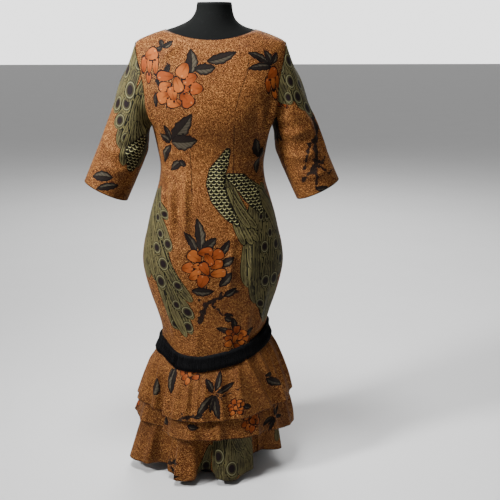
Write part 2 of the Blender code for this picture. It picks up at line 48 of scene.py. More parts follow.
# %% [markdown]
# The camera stands in front of the dress, a little above its neckline, and looks down slightly. A long lens
# keeps the hem and the shoulders in proportion. The camera comes first, because each later choice is judged
# through it.
# %% Camera
CAMERA_SPOT = (0.0, -2.5, 1.322)
CAMERA_TILT = 75.5
CAMERA_TURN = -2.53
LENS = 62.0
SENSOR_WIDTH = 36.0


def make_camera():
    camera = bpy.data.cameras.new("camera")
    camera.lens = LENS
    camera.sensor_width = SENSOR_WIDTH
    thing = bpy.data.objects.new("camera", camera)
    thing.location = CAMERA_SPOT
    thing.rotation_euler = (math.radians(CAMERA_TILT), 0.0, math.radians(CAMERA_TURN))
    bpy.context.scene.collection.objects.link(thing)
    bpy.context.scene.camera = thing


make_camera()
print("camera at", CAMERA_SPOT)

# %% [markdown]
# All the cloth follows one body surface, which a table of cross sections describes: how wide and deep the
# body is at each level. A smooth curve through the table's rows gives any level between them. The solids
# were made from the same table, so the cloth lands on them with no fitting. Working with whole arrays of
# points at once keeps dense cloth quick to build.
# %% The body's cross sections
CLOTH = 0.0015
SEAM_GAP = 0.0003
ARMPIT_LEVEL = 1.052
SHOULDER_TIP_LEVEL = 1.284
NECKLINE_LEVEL = 1.317
FORM_TOP_LEVEL = 1.3857
ZIP_BOTTOM_LEVEL = 0.800
SEAM_TOP_LEVEL = 0.780
BODY_COLUMNS = ("level", "half_width", "front", "back", "squareness", "front_lift", "back_lift", "middle")
BODY = (
    (0.330, 0.163, 0.134, 0.130, 2.0, 0.0, 0.0, 0.0),
    (0.400, 0.159, 0.131, 0.128, 2.0, 0.0, 0.0, 0.0),
    (0.444, 0.158, 0.128, 0.127, 2.0, 0.0, 0.0, 0.0),
    (0.496, 0.171, 0.130, 0.131, 2.1, 0.0, 0.0, 0.0),
    (0.547, 0.188, 0.134, 0.138, 2.1, 0.0, 0.0, 0.0),
    (0.598, 0.2015, 0.139, 0.146, 2.2, 0.0, 0.0, 0.0),
    (0.648, 0.2095, 0.142, 0.152, 2.2, 0.0, 0.0, 0.0),
    (0.697, 0.2055, 0.140, 0.153, 2.2, 0.0, 0.0, 0.0),
    (0.746, 0.194, 0.136, 0.148, 2.2, 0.0, 0.0, 0.0),
    (0.794, 0.183, 0.129, 0.137, 2.2, 0.0, 0.0, 0.0),
    (0.842, 0.169, 0.121, 0.123, 2.2, 0.0, 0.0, 0.0),
    (0.889, 0.155, 0.114, 0.111, 2.2, 0.0, 0.0, 0.0),
    (0.937, 0.150, 0.110, 0.105, 2.2, 0.0, 0.0, 0.0),
    (0.983, 0.157, 0.114, 0.106, 2.2, 0.0, 0.0, 0.0),
    (1.030, 0.166, 0.125, 0.110, 2.3, 0.0, 0.0, 0.0),
    (1.052, 0.172, 0.131, 0.112, 2.4, 0.0, 0.0, 0.0),
    (1.100, 0.189, 0.136, 0.115, 2.5, 0.002, 0.004, 0.0),
    (1.150, 0.205, 0.130, 0.117, 2.6, 0.006, 0.010, 0.0),
    (1.200, 0.214, 0.115, 0.115, 2.6, 0.010, 0.016, 0.0),
    (1.250, 0.2175, 0.100, 0.106, 2.5, 0.006, 0.014, 0.0),
    (1.284, 0.208, 0.090, 0.096, 2.2, -0.007, 0.005, 0.0),
    (1.303, 0.1705, 0.0865, 0.0915, 2.0, -0.019, -0.005, 0.0),
    (1.317, 0.1275, 0.084, 0.087, 2.0, -0.028, -0.012, 0.0),
    (1.325, 0.0955, 0.073, 0.075, 2.0, -0.020, -0.008, 0.0),
    (1.342, 0.066, 0.060, 0.062, 2.0, -0.008, -0.003, 0.006),
    (1.3635, 0.053, 0.052, 0.053, 2.0, 0.0, 0.0, 0.010),
    (1.3857, 0.049, 0.050, 0.050, 2.0, 0.0, 0.0, 0.011),
)


def read_table(rows, columns, wanted, at):
    """Smooth values of one column at places along the table's first column."""
    places = np.array([row[0] for row in rows])
    values = np.array([row[columns.index(wanted)] for row in rows])
    last = len(rows) - 1
    order = np.arange(last + 1)
    before = np.maximum(order - 1, 0)
    after = np.minimum(order + 1, last)
    slopes = (values[after] - values[before]) / (places[after] - places[before])
    at = np.clip(np.asarray(at, float), places[0], places[last])
    index = np.clip(np.searchsorted(places, at, side="left") - 1, 0, last - 1)
    span = places[index + 1] - places[index]
    t = (at - places[index]) / span
    near = (1 + 2 * t) * (1 - t) ** 2 * values[index] + t * (1 - t) ** 2 * span * slopes[index]
    far = t * t * (3 - 2 * t) * values[index + 1] - t * t * (1 - t) * span * slopes[index + 1]
    return near + far


def read_ring(rows, columns, wanted, angle):
    """The same for a table that goes once round the body."""
    start = rows[0][0]
    turned = start + (np.asarray(angle, float) - start) % 360.0
    before = ((rows[-1][0] - 360.0, *rows[-1][1:]),)
    after = tuple((row[0] + 360.0, *row[1:]) for row in rows[:2])
    return read_table(before + tuple(rows) + after, columns, wanted, turned)


def body_point(angle, level, inset=0.0):
    """Points on the outside of the cloth. Angle 0 is the middle of the front, 90 the wearer's left."""
    angle, level, inset = np.broadcast_arrays(angle, level, inset)
    half_width, front, back, squareness, front_lift, back_lift, middle = (
        read_table(BODY, BODY_COLUMNS, name, level) for name in BODY_COLUMNS[1:])
    sine = np.sin(np.radians(angle))
    cosine = np.cos(np.radians(angle))
    depth = np.where(cosine > 0, front, back)
    lift = np.where(cosine > 0, front_lift, back_lift)
    power = 2.0 / squareness
    x = middle + np.sign(sine) * (half_width - inset) * np.abs(sine) ** power
    y = -np.sign(cosine) * (depth - inset) * np.abs(cosine) ** power
    return np.stack((x, y, level + lift * cosine * cosine), axis=-1)


def body_outward(angle, level):
    """Direction away from the body, in the level plane."""
    along = body_point(np.asarray(angle) + 1.0, level) - body_point(np.asarray(angle) - 1.0, level)
    outward = np.stack((along[..., 1], -along[..., 0], np.zeros_like(along[..., 0])), axis=-1)
    return outward / np.linalg.norm(outward, axis=-1, keepdims=True)


print("waist half width", float(read_table(BODY, BODY_COLUMNS, "half_width", 0.937)))

# %% [markdown]
# The bodice and skirt are three panels: one front and two backs. Their edges follow the side seams, the
# armholes, the zip and the slanting seam at the knee. Rows are close together where an armhole turns.
# %% Edges of the panels
SPACING = 0.0042
PANEL_BOTTOM_LEVEL = 0.40
ARMHOLE_ROWS = 52
SHOULDER_ROWS = 9
FRONT_ARMHOLE_TURN = 29.0
BACK_ARMHOLE_TURN = 19.0
SIDE_FLATNESS = 1.6
SEAM_FADE_FROM = 0.422
SEAM_FADE_TO = 0.57
KNEE_SEAM_GAP = 0.0008
SEAM_BELOW_FRINGE_TOP = 0.020
ZIP_OPENING = 0.006
FRINGE_COLUMNS = ("angle", "top")
FRINGE_TOP = (
    (-180.0, 0.416),
    (-135.0, 0.417),
    (-90.0, 0.418),
    (-65.0, 0.415),
    (-42.0, 0.390),
    (-18.0, 0.386),
    (0.0, 0.395),
    (30.0, 0.414),
    (60.0, 0.438),
    (90.0, 0.460),
    (135.0, 0.438),
)


def seam_level(angle):
    """Level of the knee seam, which lies under the fringe and rises to the wearer's left."""
    return read_ring(FRINGE_TOP, FRINGE_COLUMNS, "top", angle) - SEAM_BELOW_FRINGE_TOP


def skirt_level(angle, level):
    """Level moved so that the lowest rows of a panel follow the knee seam."""
    fade = np.clip((SEAM_FADE_TO - level) / (SEAM_FADE_TO - SEAM_FADE_FROM), 0.0, 1.0)
    return level + (seam_level(angle) - PANEL_BOTTOM_LEVEL) * fade


def armhole_share(level):
    """0 at the armpit and the shoulder tip, 1 half way between, along a half circle."""
    share = (level - ARMPIT_LEVEL) / (SHOULDER_TIP_LEVEL - ARMPIT_LEVEL)
    inside = np.clip(1 - (2 * share - 1) ** 2, 0.0, 1.0)
    return np.sqrt(inside)


def panel_levels():
    """Levels of a panel's rows, from the knee seam to the neckline."""
    skirt_rows = round((ARMPIT_LEVEL - PANEL_BOTTOM_LEVEL) / SPACING)
    skirt = np.linspace(PANEL_BOTTOM_LEVEL, ARMPIT_LEVEL, skirt_rows + 1)
    turns = np.linspace(0.0, math.pi, ARMHOLE_ROWS + 1)
    middle = (ARMPIT_LEVEL + SHOULDER_TIP_LEVEL) / 2
    reach = (SHOULDER_TIP_LEVEL - ARMPIT_LEVEL) / 2
    armhole = middle - reach * np.cos(turns)
    shoulder = np.linspace(SHOULDER_TIP_LEVEL, NECKLINE_LEVEL, SHOULDER_ROWS + 1)
    return np.concatenate((skirt, armhole[1:], shoulder[1:]))


def side_gap_angle(level):
    """Angle that a panel stops short of the side seam."""
    half_width = read_table(BODY, BODY_COLUMNS, "half_width", level)
    return SIDE_FLATNESS * np.degrees(SEAM_GAP / 2 / half_width)


def zip_gap_angle(level):
    """Angle that a back panel stops short of the middle, where the zip or the seam is."""
    half_gap = np.where(level >= SEAM_TOP_LEVEL, ZIP_OPENING, SEAM_GAP) / 2
    half_width = read_table(BODY, BODY_COLUMNS, "half_width", level)
    squareness = read_table(BODY, BODY_COLUMNS, "squareness", level)
    return np.degrees(np.arcsin((half_gap / half_width) ** (squareness / 2)))


print("panel rows", len(panel_levels()))

# %% [markdown]
# A piece of cloth starts as a flat grid from an operator, and each of its corners then goes to its place on
# the body. Columns are spread evenly by length, not by angle, so that no part of the cloth is coarse. The
# length across and down the cloth is kept with each corner, in metres, because the print is laid out on the
# flat cloth, as on the real one, and bends with it.
# %% Helpers for sheets of cloth
FINE_STEPS = 360
MERGE_DISTANCE = 0.00001


def along_rows(points):
    """Length from the first column, along each row of points."""
    steps = np.linalg.norm(np.diff(points, axis=1), axis=-1)
    return np.concatenate((np.zeros((len(points), 1)), np.cumsum(steps, axis=1)), axis=1)


def along_columns(points):
    """Length from the first row, down each column of points."""
    return along_rows(points.transpose(1, 0, 2)).T


def even_angles(curve, first, last, columns, anchor):
    """Angles that cut each row of a curve into equal lengths, and the length from the anchor angle."""
    shares = np.linspace(0.0, 1.0, FINE_STEPS + 1)
    fine = first[:, None] + (last - first)[:, None] * shares
    lengths = along_rows(curve(fine))
    angles = np.empty((len(first), columns + 1))
    across = np.empty_like(angles)
    for row in range(len(first)):
        wanted = np.linspace(0.0, lengths[row, -1], columns + 1)
        angles[row] = np.interp(wanted, lengths[row], fine[row])
        order = np.argsort(fine[row])
        zero = np.interp(anchor, fine[row][order], lengths[row][order])
        across[row] = wanted - zero
    return angles, across


def grid_mesh(name, points):
    """Mesh of a grid operator, with its corners at these points, row by row."""
    rows, columns = points.shape[0] - 1, points.shape[1] - 1
    bm = bmesh.new()
    bmesh.ops.create_grid(bm, x_segments=columns, y_segments=rows, size=0.5)
    mesh = bpy.data.meshes.new(name)
    bm.to_mesh(mesh)
    bm.free()
    flat = np.empty(len(mesh.vertices) * 3)
    mesh.vertices.foreach_get("co", flat)
    flat = flat.reshape(-1, 3)
    column = np.rint((flat[:, 0] + 0.5) * columns).astype(int)
    row = np.rint((flat[:, 1] + 0.5) * rows).astype(int)
    mesh.vertices.foreach_set("co", points[row, column].ravel())
    mesh.update()
    return mesh, row, column


def normals_of(points):
    """Directions out of a grid of points, from the steps along its rows and columns."""
    across = np.gradient(points, axis=1)
    up = np.gradient(points, axis=0)
    normal = np.cross(across, up)
    return normal / np.maximum(np.linalg.norm(normal, axis=-1, keepdims=True), 1e-12)


def face_corners(mesh):
    """Which point each face corner sits on."""
    owners = np.empty(len(mesh.loops), dtype=int)
    mesh.loops.foreach_get("vertex_index", owners)
    return owners


def keep_corners(mesh, name, values):
    """Keep one number at each face corner, so that the print can break at a seam."""
    layer = mesh.attributes.new(name, "FLOAT", "CORNER")
    layer.data.foreach_set("value", values.astype(np.float32))


def cloth_map(mesh, across, up):
    """Keep each corner's place on the flat cloth, in metres."""
    owners = face_corners(mesh)
    layer = mesh.uv_layers.new(name="cloth")
    layer.data.foreach_set("uv", np.stack((across[owners], up[owners]), axis=-1).ravel())


def close_seam(mesh):
    """Merge the two edges of a tube, which lie on each other."""
    bm = bmesh.new()
    bm.from_mesh(mesh)
    bmesh.ops.remove_doubles(bm, verts=bm.verts, dist=MERGE_DISTANCE)
    bm.to_mesh(mesh)
    bm.free()


def show(name, mesh, material_name):
    """Link a finished piece, smooth, with its material, riding on the dress and form."""
    mesh.shade_smooth()
    thing = bpy.data.objects.new(name, mesh)
    bpy.context.scene.collection.objects.link(thing)
    mesh.materials.append(bpy.data.materials[material_name])
    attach(thing, DRESS)
    print(name, "has", len(mesh.polygons), "faces")
    return thing


def line_distance(points, line):
    """Distance to a line through several spots, and how far along it the nearest place is, 0 to 1."""
    spots = np.asarray(line, float)
    lengths = np.linalg.norm(np.diff(spots, axis=0), axis=1)
    starts = np.concatenate(([0.0], np.cumsum(lengths)))
    nearest = np.full(len(points), 1e9)
    share = np.zeros(len(points))
    for index, length in enumerate(lengths):
        step = spots[index + 1] - spots[index]
        t = np.clip(((points - spots[index]) @ step) / length ** 2, 0.0, 1.0)
        distance = np.linalg.norm(points - (spots[index] + t[:, None] * step), axis=1)
        closer = distance < nearest
        nearest[closer] = distance[closer]
        share[closer] = (starts[index] + t[closer] * length) / starts[-1]
    return nearest, share


print("cloth spacing", SPACING)

# %% [markdown]
# The print shows birds, flowers, leaves and twigs on a ground of fine squiggles. It is this script's own
# drawing: each shape is worked out from a few sizes, and only its place and scale follow the dress. Each
# face of the cloth belongs to one shape of each kind, the one on top there. Its corners keep their
# distance to that shape's edge and their place along it. A material turns these into crisp ink lines, with
# no picture.
# %% Shapes of the print
PETAL_LENGTH = 1.12
PETAL_WIDTH = 1.20
KINDS = ("leaf", "petal", "plume")
FAR = 0.03
EYE_FAR = 3.0
COVER = 0.0010


def blank_print(corners):
    """No print yet, on cloth faces whose four corners lie at these places on the flat cloth."""
    count = len(corners)
    fields = {name: np.full((count, 4), FAR) for name in ("twig", "dart")}
    for kind in KINDS:
        fields[kind] = np.full((count, 4), FAR)
        for part in ("_rib", "_along", "_under", "_tone"):
            fields[kind + part] = np.zeros((count, 4))
    fields["eye"] = np.full((count, 4), EYE_FAR)
    fields["scaly"] = np.zeros((count, 4))
    nearest = {kind: np.full(count, FAR) for kind in KINDS}
    return {"corners": corners, "centres": corners.mean(axis=1), "fields": fields, "nearest": nearest}


def near_spots(points, spots, reach):
    """Which points lie in the box round some spots, widened by a reach."""
    spots = np.asarray(spots, float)
    low, high = spots.min(axis=0) - reach, spots.max(axis=0) + reach
    return np.flatnonzero(((points > low) & (points < high)).all(axis=1))


def lay_shape(cloth, kind, spots, reach, measure):
    """Lay a shape over those of its kind. A face takes it where it covers the face, or comes nearest."""
    near = near_spots(cloth["centres"], spots, reach)
    if len(near) == 0:
        return
    distance = measure(cloth["centres"][near])[kind]
    held = cloth["nearest"][kind][near]
    wins = (distance < COVER) | ((distance < held) & (held > 0.0))
    chosen = near[wins]
    for name, numbers in measure(cloth["corners"][chosen].reshape(-1, 2)).items():
        cloth["fields"][name][chosen] = numbers.reshape(-1, 4)
    cloth["fields"][kind + "_under"][chosen] = (held[wins] < 0.0)[:, None]
    cloth["nearest"][kind][chosen] = np.minimum(distance[wins], held[wins])


def blade_frame(points, base, tip, bend):
    """Share along a blade from base to tip, and the signed distance from its curved midrib."""
    step = np.subtract(tip, base)
    length = math.hypot(*step)
    direction = step / length
    local = points - np.asarray(base)
    along = local @ direction
    across = local @ np.array((direction[1], -direction[0]))
    share = along / length
    across = across - bend * length * 4 * np.clip(share, 0, 1) * (1 - np.clip(share, 0, 1))
    return share, along, across, length


def blade_distance(along, across, length, half):
    """Signed distance to the edge of a blade that is this wide on each side of its midrib."""
    over = np.maximum(-along, along - length)
    beside = np.abs(across) - half
    return np.where(over > 0.0, np.hypot(np.maximum(beside, 0.0), over), beside)


def uneven_tone(angle):
    """A tone from 0 to 1 that seems to differ at random from one shape to the next."""
    return 0.5 + 0.5 * math.sin(angle)


def draw_leaf(cloth, base_u, base_v, tip_u, tip_v, width, bend=0.05):
    """Pointed leaf with a slightly notched edge."""
    tone = uneven_tone(91.0 * base_u + 57.0 * tip_v)

    def measure(points):
        share, along, across, length = blade_frame(points, (base_u, base_v), (tip_u, tip_v), bend)
        inside = np.clip(share, 0.0, 1.0)
        notches = 1 + 0.09 * np.cos(8 * math.pi * inside)
        half = width / 2 * np.sin(math.pi * inside ** 0.85) ** 0.8 * notches
        distance = blade_distance(along, across, length, half)
        return {"leaf": distance, "leaf_rib": across, "leaf_along": along,
                "leaf_tone": np.full(len(points), tone)}

    lay_shape(cloth, "leaf", [(base_u, base_v), (tip_u, tip_v)], width + 0.01, measure)


def draw_petal(cloth, u, v, turn, length, width, tone):
    """Rounded petal that is broader at its tip."""
    direction = np.array((math.sin(turn), math.cos(turn)))

    def measure(points):
        local = points - np.array((u, v))
        along = local @ direction / length
        across = local @ np.array((direction[1], -direction[0]))
        half = width / 2 * (1.0 + 0.7 * np.clip(along, -0.5, 0.5))
        size = (np.abs(2 * along) ** 2.5 + np.abs(across / half) ** 2.5) ** 0.4
        return {"petal": (size - 1.0) * width / 2, "petal_rib": across / width, "petal_along": along,
                "petal_tone": np.full(len(points), tone)}

    lay_shape(cloth, "petal", [(u, v)], length * 0.5 + 0.012, measure)


def draw_petals(cloth, petals, u, v, radius, turn):
    """Loose flower: petals listed one by one round its middle, in shares of its radius."""
    sine, cosine = math.sin(math.radians(turn)), math.cos(math.radians(turn))
    for number, (x, y, lean, length, width) in enumerate(petals):
        spot_u = u + radius * (x * cosine + y * sine)
        spot_v = v + radius * (y * cosine - x * sine)
        long = PETAL_LENGTH * length * radius
        wide = PETAL_WIDTH * width * radius
        tone = uneven_tone(2.4 * number + 40.0 * u)
        draw_petal(cloth, spot_u, spot_v, math.radians(lean + turn), long, wide, tone)


def draw_feather(cloth, base_u, base_v, tip_u, tip_v, width, eye=0.0, bend=0.0):
    """Long feather that widens to a round end, with an eye there where a size is given."""
    tone = uneven_tone(133.0 * tip_u + 71.0 * tip_v)

    def measure(points):
        share, along, across, length = blade_frame(points, (base_u, base_v), (tip_u, tip_v), bend)
        inside = np.clip(share, 0.0, 1.0)
        half = width / 2 * (0.45 + 0.55 * inside ** 1.3) * np.sqrt(np.clip(1 - inside ** 7, 0.0, 1.0))
        distance = blade_distance(along, across, length, half)
        size = np.full(len(points), EYE_FAR)
        if eye:
            from_middle = (along - length + 1.9 * eye) / (1.2 * eye)
            size = np.minimum(np.hypot(from_middle, across / eye), EYE_FAR)
        return {"plume": distance, "plume_rib": across, "plume_along": along, "eye": size,
                "scaly": np.zeros(len(points)), "plume_tone": np.full(len(points), tone)}

    lay_shape(cloth, "plume", [(base_u, base_v), (tip_u, tip_v)], width + 0.01, measure)


def draw_scales(cloth, *line):
    """Band of small scales along spots that each have a half width."""
    spots = np.array([(line[i], line[i + 1]) for i in range(0, len(line), 3)])
    widths = line[2::3]
    lengths = np.linalg.norm(np.diff(spots, axis=0), axis=1)
    starts = np.concatenate(([0.0], np.cumsum(lengths))) / lengths.sum()

    def measure(points):
        distance, share = line_distance(points, spots)
        distance = distance - np.interp(share, starts, widths)
        return {"plume": distance, "scaly": np.ones(len(points)), "eye": np.full(len(points), EYE_FAR),
                "plume_rib": distance, "plume_tone": np.full(len(points), 0.5)}

    lay_shape(cloth, "plume", spots, max(widths) + 0.01, measure)


def draw_twig(cloth, width, *line):
    """Twig along several spots, thinner towards its end."""
    spots = list(zip(line[0::2], line[1::2]))
    near = near_spots(cloth["centres"], spots, width + 0.01)
    distance, share = line_distance(cloth["corners"][near].reshape(-1, 2), spots)
    thickness = width / 2 * (1.15 - 0.6 * share) * (1.0 + 0.3 * np.sin(40.0 * share))
    edge = (distance - thickness).reshape(-1, 4)
    cloth["fields"]["twig"][near] = np.minimum(cloth["fields"]["twig"][near], edge)


def draw_dart(cloth, *line):
    """Seam line of a dart, shown as painted seam shade: the signed distance from each of its straight
    stretches.
    """
    spots = list(zip(line[0::2], line[1::2]))
    for start, end in zip(spots, spots[1:]):
        near = near_spots(cloth["centres"], [start, end], 0.012)
        _, along, across, length = blade_frame(cloth["corners"][near].reshape(-1, 2), start, end, 0.0)
        beyond = np.maximum(np.maximum(-along, along - length), 0.0)
        held = cloth["fields"]["dart"][near]
        across = (across + np.where(beyond > 0.001, FAR, 0.0)).reshape(-1, 4)
        cloth["fields"]["dart"][near] = np.where(np.abs(across) < np.abs(held), across, held)


print("kinds of shape in the print:", ", ".join(KINDS))

# %% [markdown]
# One bird, one spray of flowers, one train of tail feathers and one twig are each drawn once, round an
# origin of their own. They are then moved, turned over and scaled to their places on each panel, as the
# repeats of a printed cloth are.
# %% Groups of shapes
# A row gives the shape, then its sizes in metres:
# leaf or feather: base across, base up, tip across, tip up, width, then its bend, after the eye of a feather
# scales: across, up and half width of each spot; twig: width, then across and up of each spot
# bloom or bud: across, up, radius, turn; each of its petals: across, up, lean, length, width, in radii
BLOOM = (
    (0.62, 0.60, 58, 0.62, 0.46),
    (-0.50, 0.50, -48, 0.70, 0.50),
    (0.04, 0.76, 84, 0.68, 0.40),
    (-0.88, -0.08, 82, 0.58, 0.46),
    (-0.50, -0.46, 58, 0.66, 0.44),
    (-0.14, -0.78, 22, 0.66, 0.48),
    (0.66, -0.36, 82, 0.76, 0.38),
    (0.60, 0.10, 62, 0.62, 0.36),
    (0.18, 0.36, 158, 0.62, 0.38),
    (-0.42, 0.04, 80, 0.40, 0.26),
    (0.00, -0.10, -28, 0.68, 0.38),
)
BUD = (
    (-0.06, -0.95, 4, 0.70, 0.36),
    (0.42, 0.02, -6, 1.30, 0.42),
    (-0.46, -0.12, 10, 1.05, 0.44),
    (0.00, -0.10, 2, 1.10, 0.34),
    (0.10, 0.62, 66, 0.92, 0.66),
)
BIRD = (
    ("feather", -0.020, 0.112, 0.012, -0.010, 0.056, 0.0, 0.0),
    ("feather", 0.110, 0.02, 0.120, -0.330, 0.110, 0.0, 0.0),
    ("feather", 0.084, 0.070, 0.070, -0.060, 0.120, 0.0, 0.0),
    ("feather", 0.070, 0.04, 0.056, -0.210, 0.100, 0.0, 0.02),
    ("feather", 0.050, -0.06, 0.074, -0.262, 0.060, 0.0, 0.02),
    ("feather", 0.120, 0.04, 0.158, -0.190, 0.100, 0.0, -0.05),
    ("feather", 0.090, -0.14, 0.116, -0.334, 0.044, 0.0, 0.03),
    ("feather", 0.080, -0.12, 0.104, -0.318, 0.042, 0.011, 0.02),
    ("feather", 0.050, -0.02, 0.052, -0.150, 0.032, 0.0, 0.03),
    ("feather", 0.064, -0.04, 0.066, -0.208, 0.036, 0.0, 0.02),
    ("feather", 0.075, -0.05, 0.084, -0.280, 0.040, 0.010, 0.02),
    ("feather", 0.110, -0.06, 0.096, -0.216, 0.044, 0.013, 0.0),
    ("feather", 0.130, -0.06, 0.136, -0.220, 0.046, 0.015, 0.0),
    ("feather", 0.100, -0.02, 0.094, -0.112, 0.040, 0.012, 0.0),
    ("feather", 0.130, 0.00, 0.172, -0.162, 0.044, 0.013, -0.03),
    ("feather", 0.125, 0.02, 0.146, -0.112, 0.040, 0.012, -0.03),
    ("feather", 0.120, 0.05, 0.120, -0.072, 0.036, 0.010, 0.0),
    ("feather", 0.115, 0.07, 0.110, -0.020, 0.030, 0.009, 0.0),
    ("feather", 0.100, 0.08, 0.084, -0.018, 0.028, 0.008, 0.0),
    ("feather", 0.096, 0.09, 0.116, 0.004, 0.026, 0.008, 0.0),
    ("feather", 0.000, 0.115, 0.176, -0.110, 0.060, 0.0, -0.15),
    ("feather", 0.000, 0.10, 0.160, -0.050, 0.052, 0.0, -0.12),
    ("feather", -0.018, 0.100, 0.036, -0.030, 0.060, 0.0, 0.0),
    ("feather", 0.000, 0.060, 0.074, -0.072, 0.030, 0.0, 0.05),
    ("feather", -0.006, 0.060, 0.052, -0.078, 0.028, 0.0, 0.04),
    ("feather", -0.014, 0.060, 0.030, -0.078, 0.026, 0.0, 0.04),
    ("feather", -0.014, 0.085, 0.070, -0.034, 0.028, 0.0, 0.05),
    ("feather", -0.018, 0.085, 0.048, -0.032, 0.024, 0.0, 0.05),
    ("feather", -0.030, 0.080, 0.010, -0.020, 0.022, 0.0, 0.04),
    ("scales", -0.014, 0.116, 0.010, 0.022, 0.100, 0.024, 0.052, 0.066, 0.028,
     0.074, 0.034, 0.018, 0.090, 0.012, 0.008),
    ("scales", -0.016, 0.190, 0.008, -0.030, 0.158, 0.018, -0.046, 0.128, 0.025, -0.052, 0.096, 0.026,
     -0.044, 0.060, 0.024, -0.028, 0.030, 0.020, -0.010, 0.004, 0.015, 0.012, -0.020, 0.006),
)
BIRD_HEAD = (
    ("scales", -0.014, 0.190, 0.009, 0.000, 0.212, 0.010, 0.018, 0.224, 0.013, 0.028, 0.224, 0.009),
    ("leaf", 0.030, 0.224, 0.056, 0.212, 0.009, 0.0),
    ("twig", 0.002, 0.016, 0.234, 0.010, 0.264),
    ("twig", 0.002, 0.019, 0.234, 0.024, 0.266),
    ("twig", 0.002, 0.014, 0.234, -0.004, 0.258),
)
TRAIN = (
    ("feather", -0.044, -0.060, -0.020, -0.262, 0.066, 0.0, 0.0),
    ("feather", 0.000, -0.004, 0.040, -0.270, 0.110, 0.0, 0.0),
    ("feather", 0.010, -0.100, 0.110, -0.405, 0.085, 0.0, 0.05),
    ("feather", 0.060, -0.220, 0.130, -0.420, 0.044, 0.013, 0.03),
    ("feather", 0.050, -0.220, 0.086, -0.412, 0.040, 0.011, 0.03),
    ("feather", 0.050, -0.260, 0.112, -0.432, 0.036, 0.0, 0.03),
    ("feather", 0.040, -0.180, 0.136, -0.372, 0.046, 0.014, 0.06),
    ("feather", 0.030, -0.160, 0.094, -0.350, 0.042, 0.011, 0.03),
    ("feather", 0.050, -0.160, 0.134, -0.318, 0.038, 0.0, 0.06),
    ("feather", 0.020, -0.100, 0.106, -0.288, 0.040, 0.012, 0.06),
    ("feather", 0.010, -0.100, 0.044, -0.290, 0.048, 0.015, 0.02),
    ("feather", 0.000, -0.060, 0.058, -0.232, 0.046, 0.014, 0.02),
    ("feather", -0.020, -0.040, 0.034, -0.184, 0.038, 0.012, 0.02),
    ("feather", -0.030, -0.060, 0.010, -0.250, 0.034, 0.0, 0.02),
    ("feather", 0.030, -0.044, 0.072, -0.170, 0.038, 0.012, 0.02),
    ("feather", 0.000, -0.024, 0.044, -0.140, 0.034, 0.010, 0.02),
    ("feather", 0.000, -0.004, 0.030, -0.094, 0.032, 0.009, 0.02),
    ("feather", 0.020, -0.004, 0.064, -0.080, 0.030, 0.009, 0.03),
    ("feather", 0.020, 0.006, 0.036, -0.060, 0.030, 0.009, 0.02),
)
SPRAY = (
    ("leaf", -0.012, 0.045, -0.022, 0.140, 0.030),
    ("leaf", -0.022, 0.040, -0.058, 0.100, 0.022),
    ("leaf", -0.008, 0.050, 0.034, 0.084, 0.028),
    ("leaf", 0.040, 0.030, 0.070, 0.078, 0.022),
    ("leaf", 0.040, 0.002, 0.084, 0.028, 0.024),
    ("leaf", 0.040, -0.060, 0.076, -0.014, 0.024),
    ("leaf", -0.040, -0.072, 0.026, -0.074, 0.026),
    ("twig", 0.006, -0.004, 0.050, -0.012, 0.080, -0.018, 0.110),
    ("twig", 0.004, -0.004, -0.040, 0.006, -0.070, 0.030, -0.090),
    ("bloom", 0.000, 0.000, 0.056, 0.0),
)
BRANCH = (
    ("twig", 0.014, -0.042, -0.060, -0.020, -0.006, 0.014, 0.012, 0.070, 0.030),
    ("twig", 0.009, -0.012, 0.000, 0.012, -0.024, 0.032, -0.044),
    ("twig", 0.005, 0.014, 0.012, 0.030, 0.040),
    ("twig", 0.005, -0.020, -0.006, -0.044, 0.008),
    ("leaf", 0.030, 0.018, 0.066, 0.042, 0.022),
    ("leaf", 0.030, -0.040, 0.058, -0.046, 0.016),
)
STAR = (
    ("leaf", 0.002, 0.006, 0.020, 0.060, 0.020),
    ("leaf", 0.006, 0.001, 0.064, 0.018, 0.018),
    ("leaf", 0.002, -0.006, 0.012, -0.076, 0.022),
    ("leaf", -0.004, -0.004, -0.050, -0.060, 0.024),
    ("leaf", -0.006, 0.002, -0.030, 0.044, 0.020),
    ("leaf", 0.000, -0.006, -0.014, -0.052, 0.014),
    ("twig", 0.004, 0.004, -0.002, 0.034, -0.034),
)
POSY = (
    ("leaf", -0.014, 0.024, -0.036, 0.062, 0.020),
    ("leaf", 0.018, 0.020, 0.052, 0.044, 0.020),
    ("leaf", 0.014, -0.022, 0.040, -0.052, 0.018),
    ("bloom", 0.000, 0.000, 0.038, 30.0),
)
GROUPS = {"bird": BIRD, "bird_head": BIRD_HEAD, "train": TRAIN, "spray": SPRAY, "branch": BRANCH,
          "star": STAR, "posy": POSY}
PAIRS = {"leaf": (0, 2), "feather": (0, 2), "bloom": (0,), "bud": (0,)}


def moved_shape(shape, u, v, size, turn, mirrored):
    """One shape of a group, with every spot of it scaled, turned and moved to its place on the cloth."""
    kind, *numbers = shape
    sine, cosine = math.sin(math.radians(turn)), math.cos(math.radians(turn))

    def spot(x, y):
        x = -x if mirrored else x
        return u + size * (x * cosine + y * sine), v + size * (y * cosine - x * sine)

    if kind == "twig":
        line = [value for i in range(1, len(numbers), 2) for value in spot(numbers[i], numbers[i + 1])]
        return (kind, numbers[0] * size, *line)
    if kind == "scales":
        line = []
        for i in range(0, len(numbers), 3):
            line += [*spot(numbers[i], numbers[i + 1]), numbers[i + 2] * size]
        return (kind, *line)
    values = list(numbers)
    for i in PAIRS[kind]:
        values[i], values[i + 1] = spot(values[i], values[i + 1])
    if kind in ("bloom", "bud"):
        return (kind, *values[:2], values[2] * size, values[3] + turn)
    values[4] *= size
    if kind == "feather":
        values[5] *= size
        values[6] *= -1 if mirrored else 1
    return (kind, *values)


def draw_bloom(cloth, u, v, radius, turn):
    draw_petals(cloth, BLOOM, u, v, radius, turn)


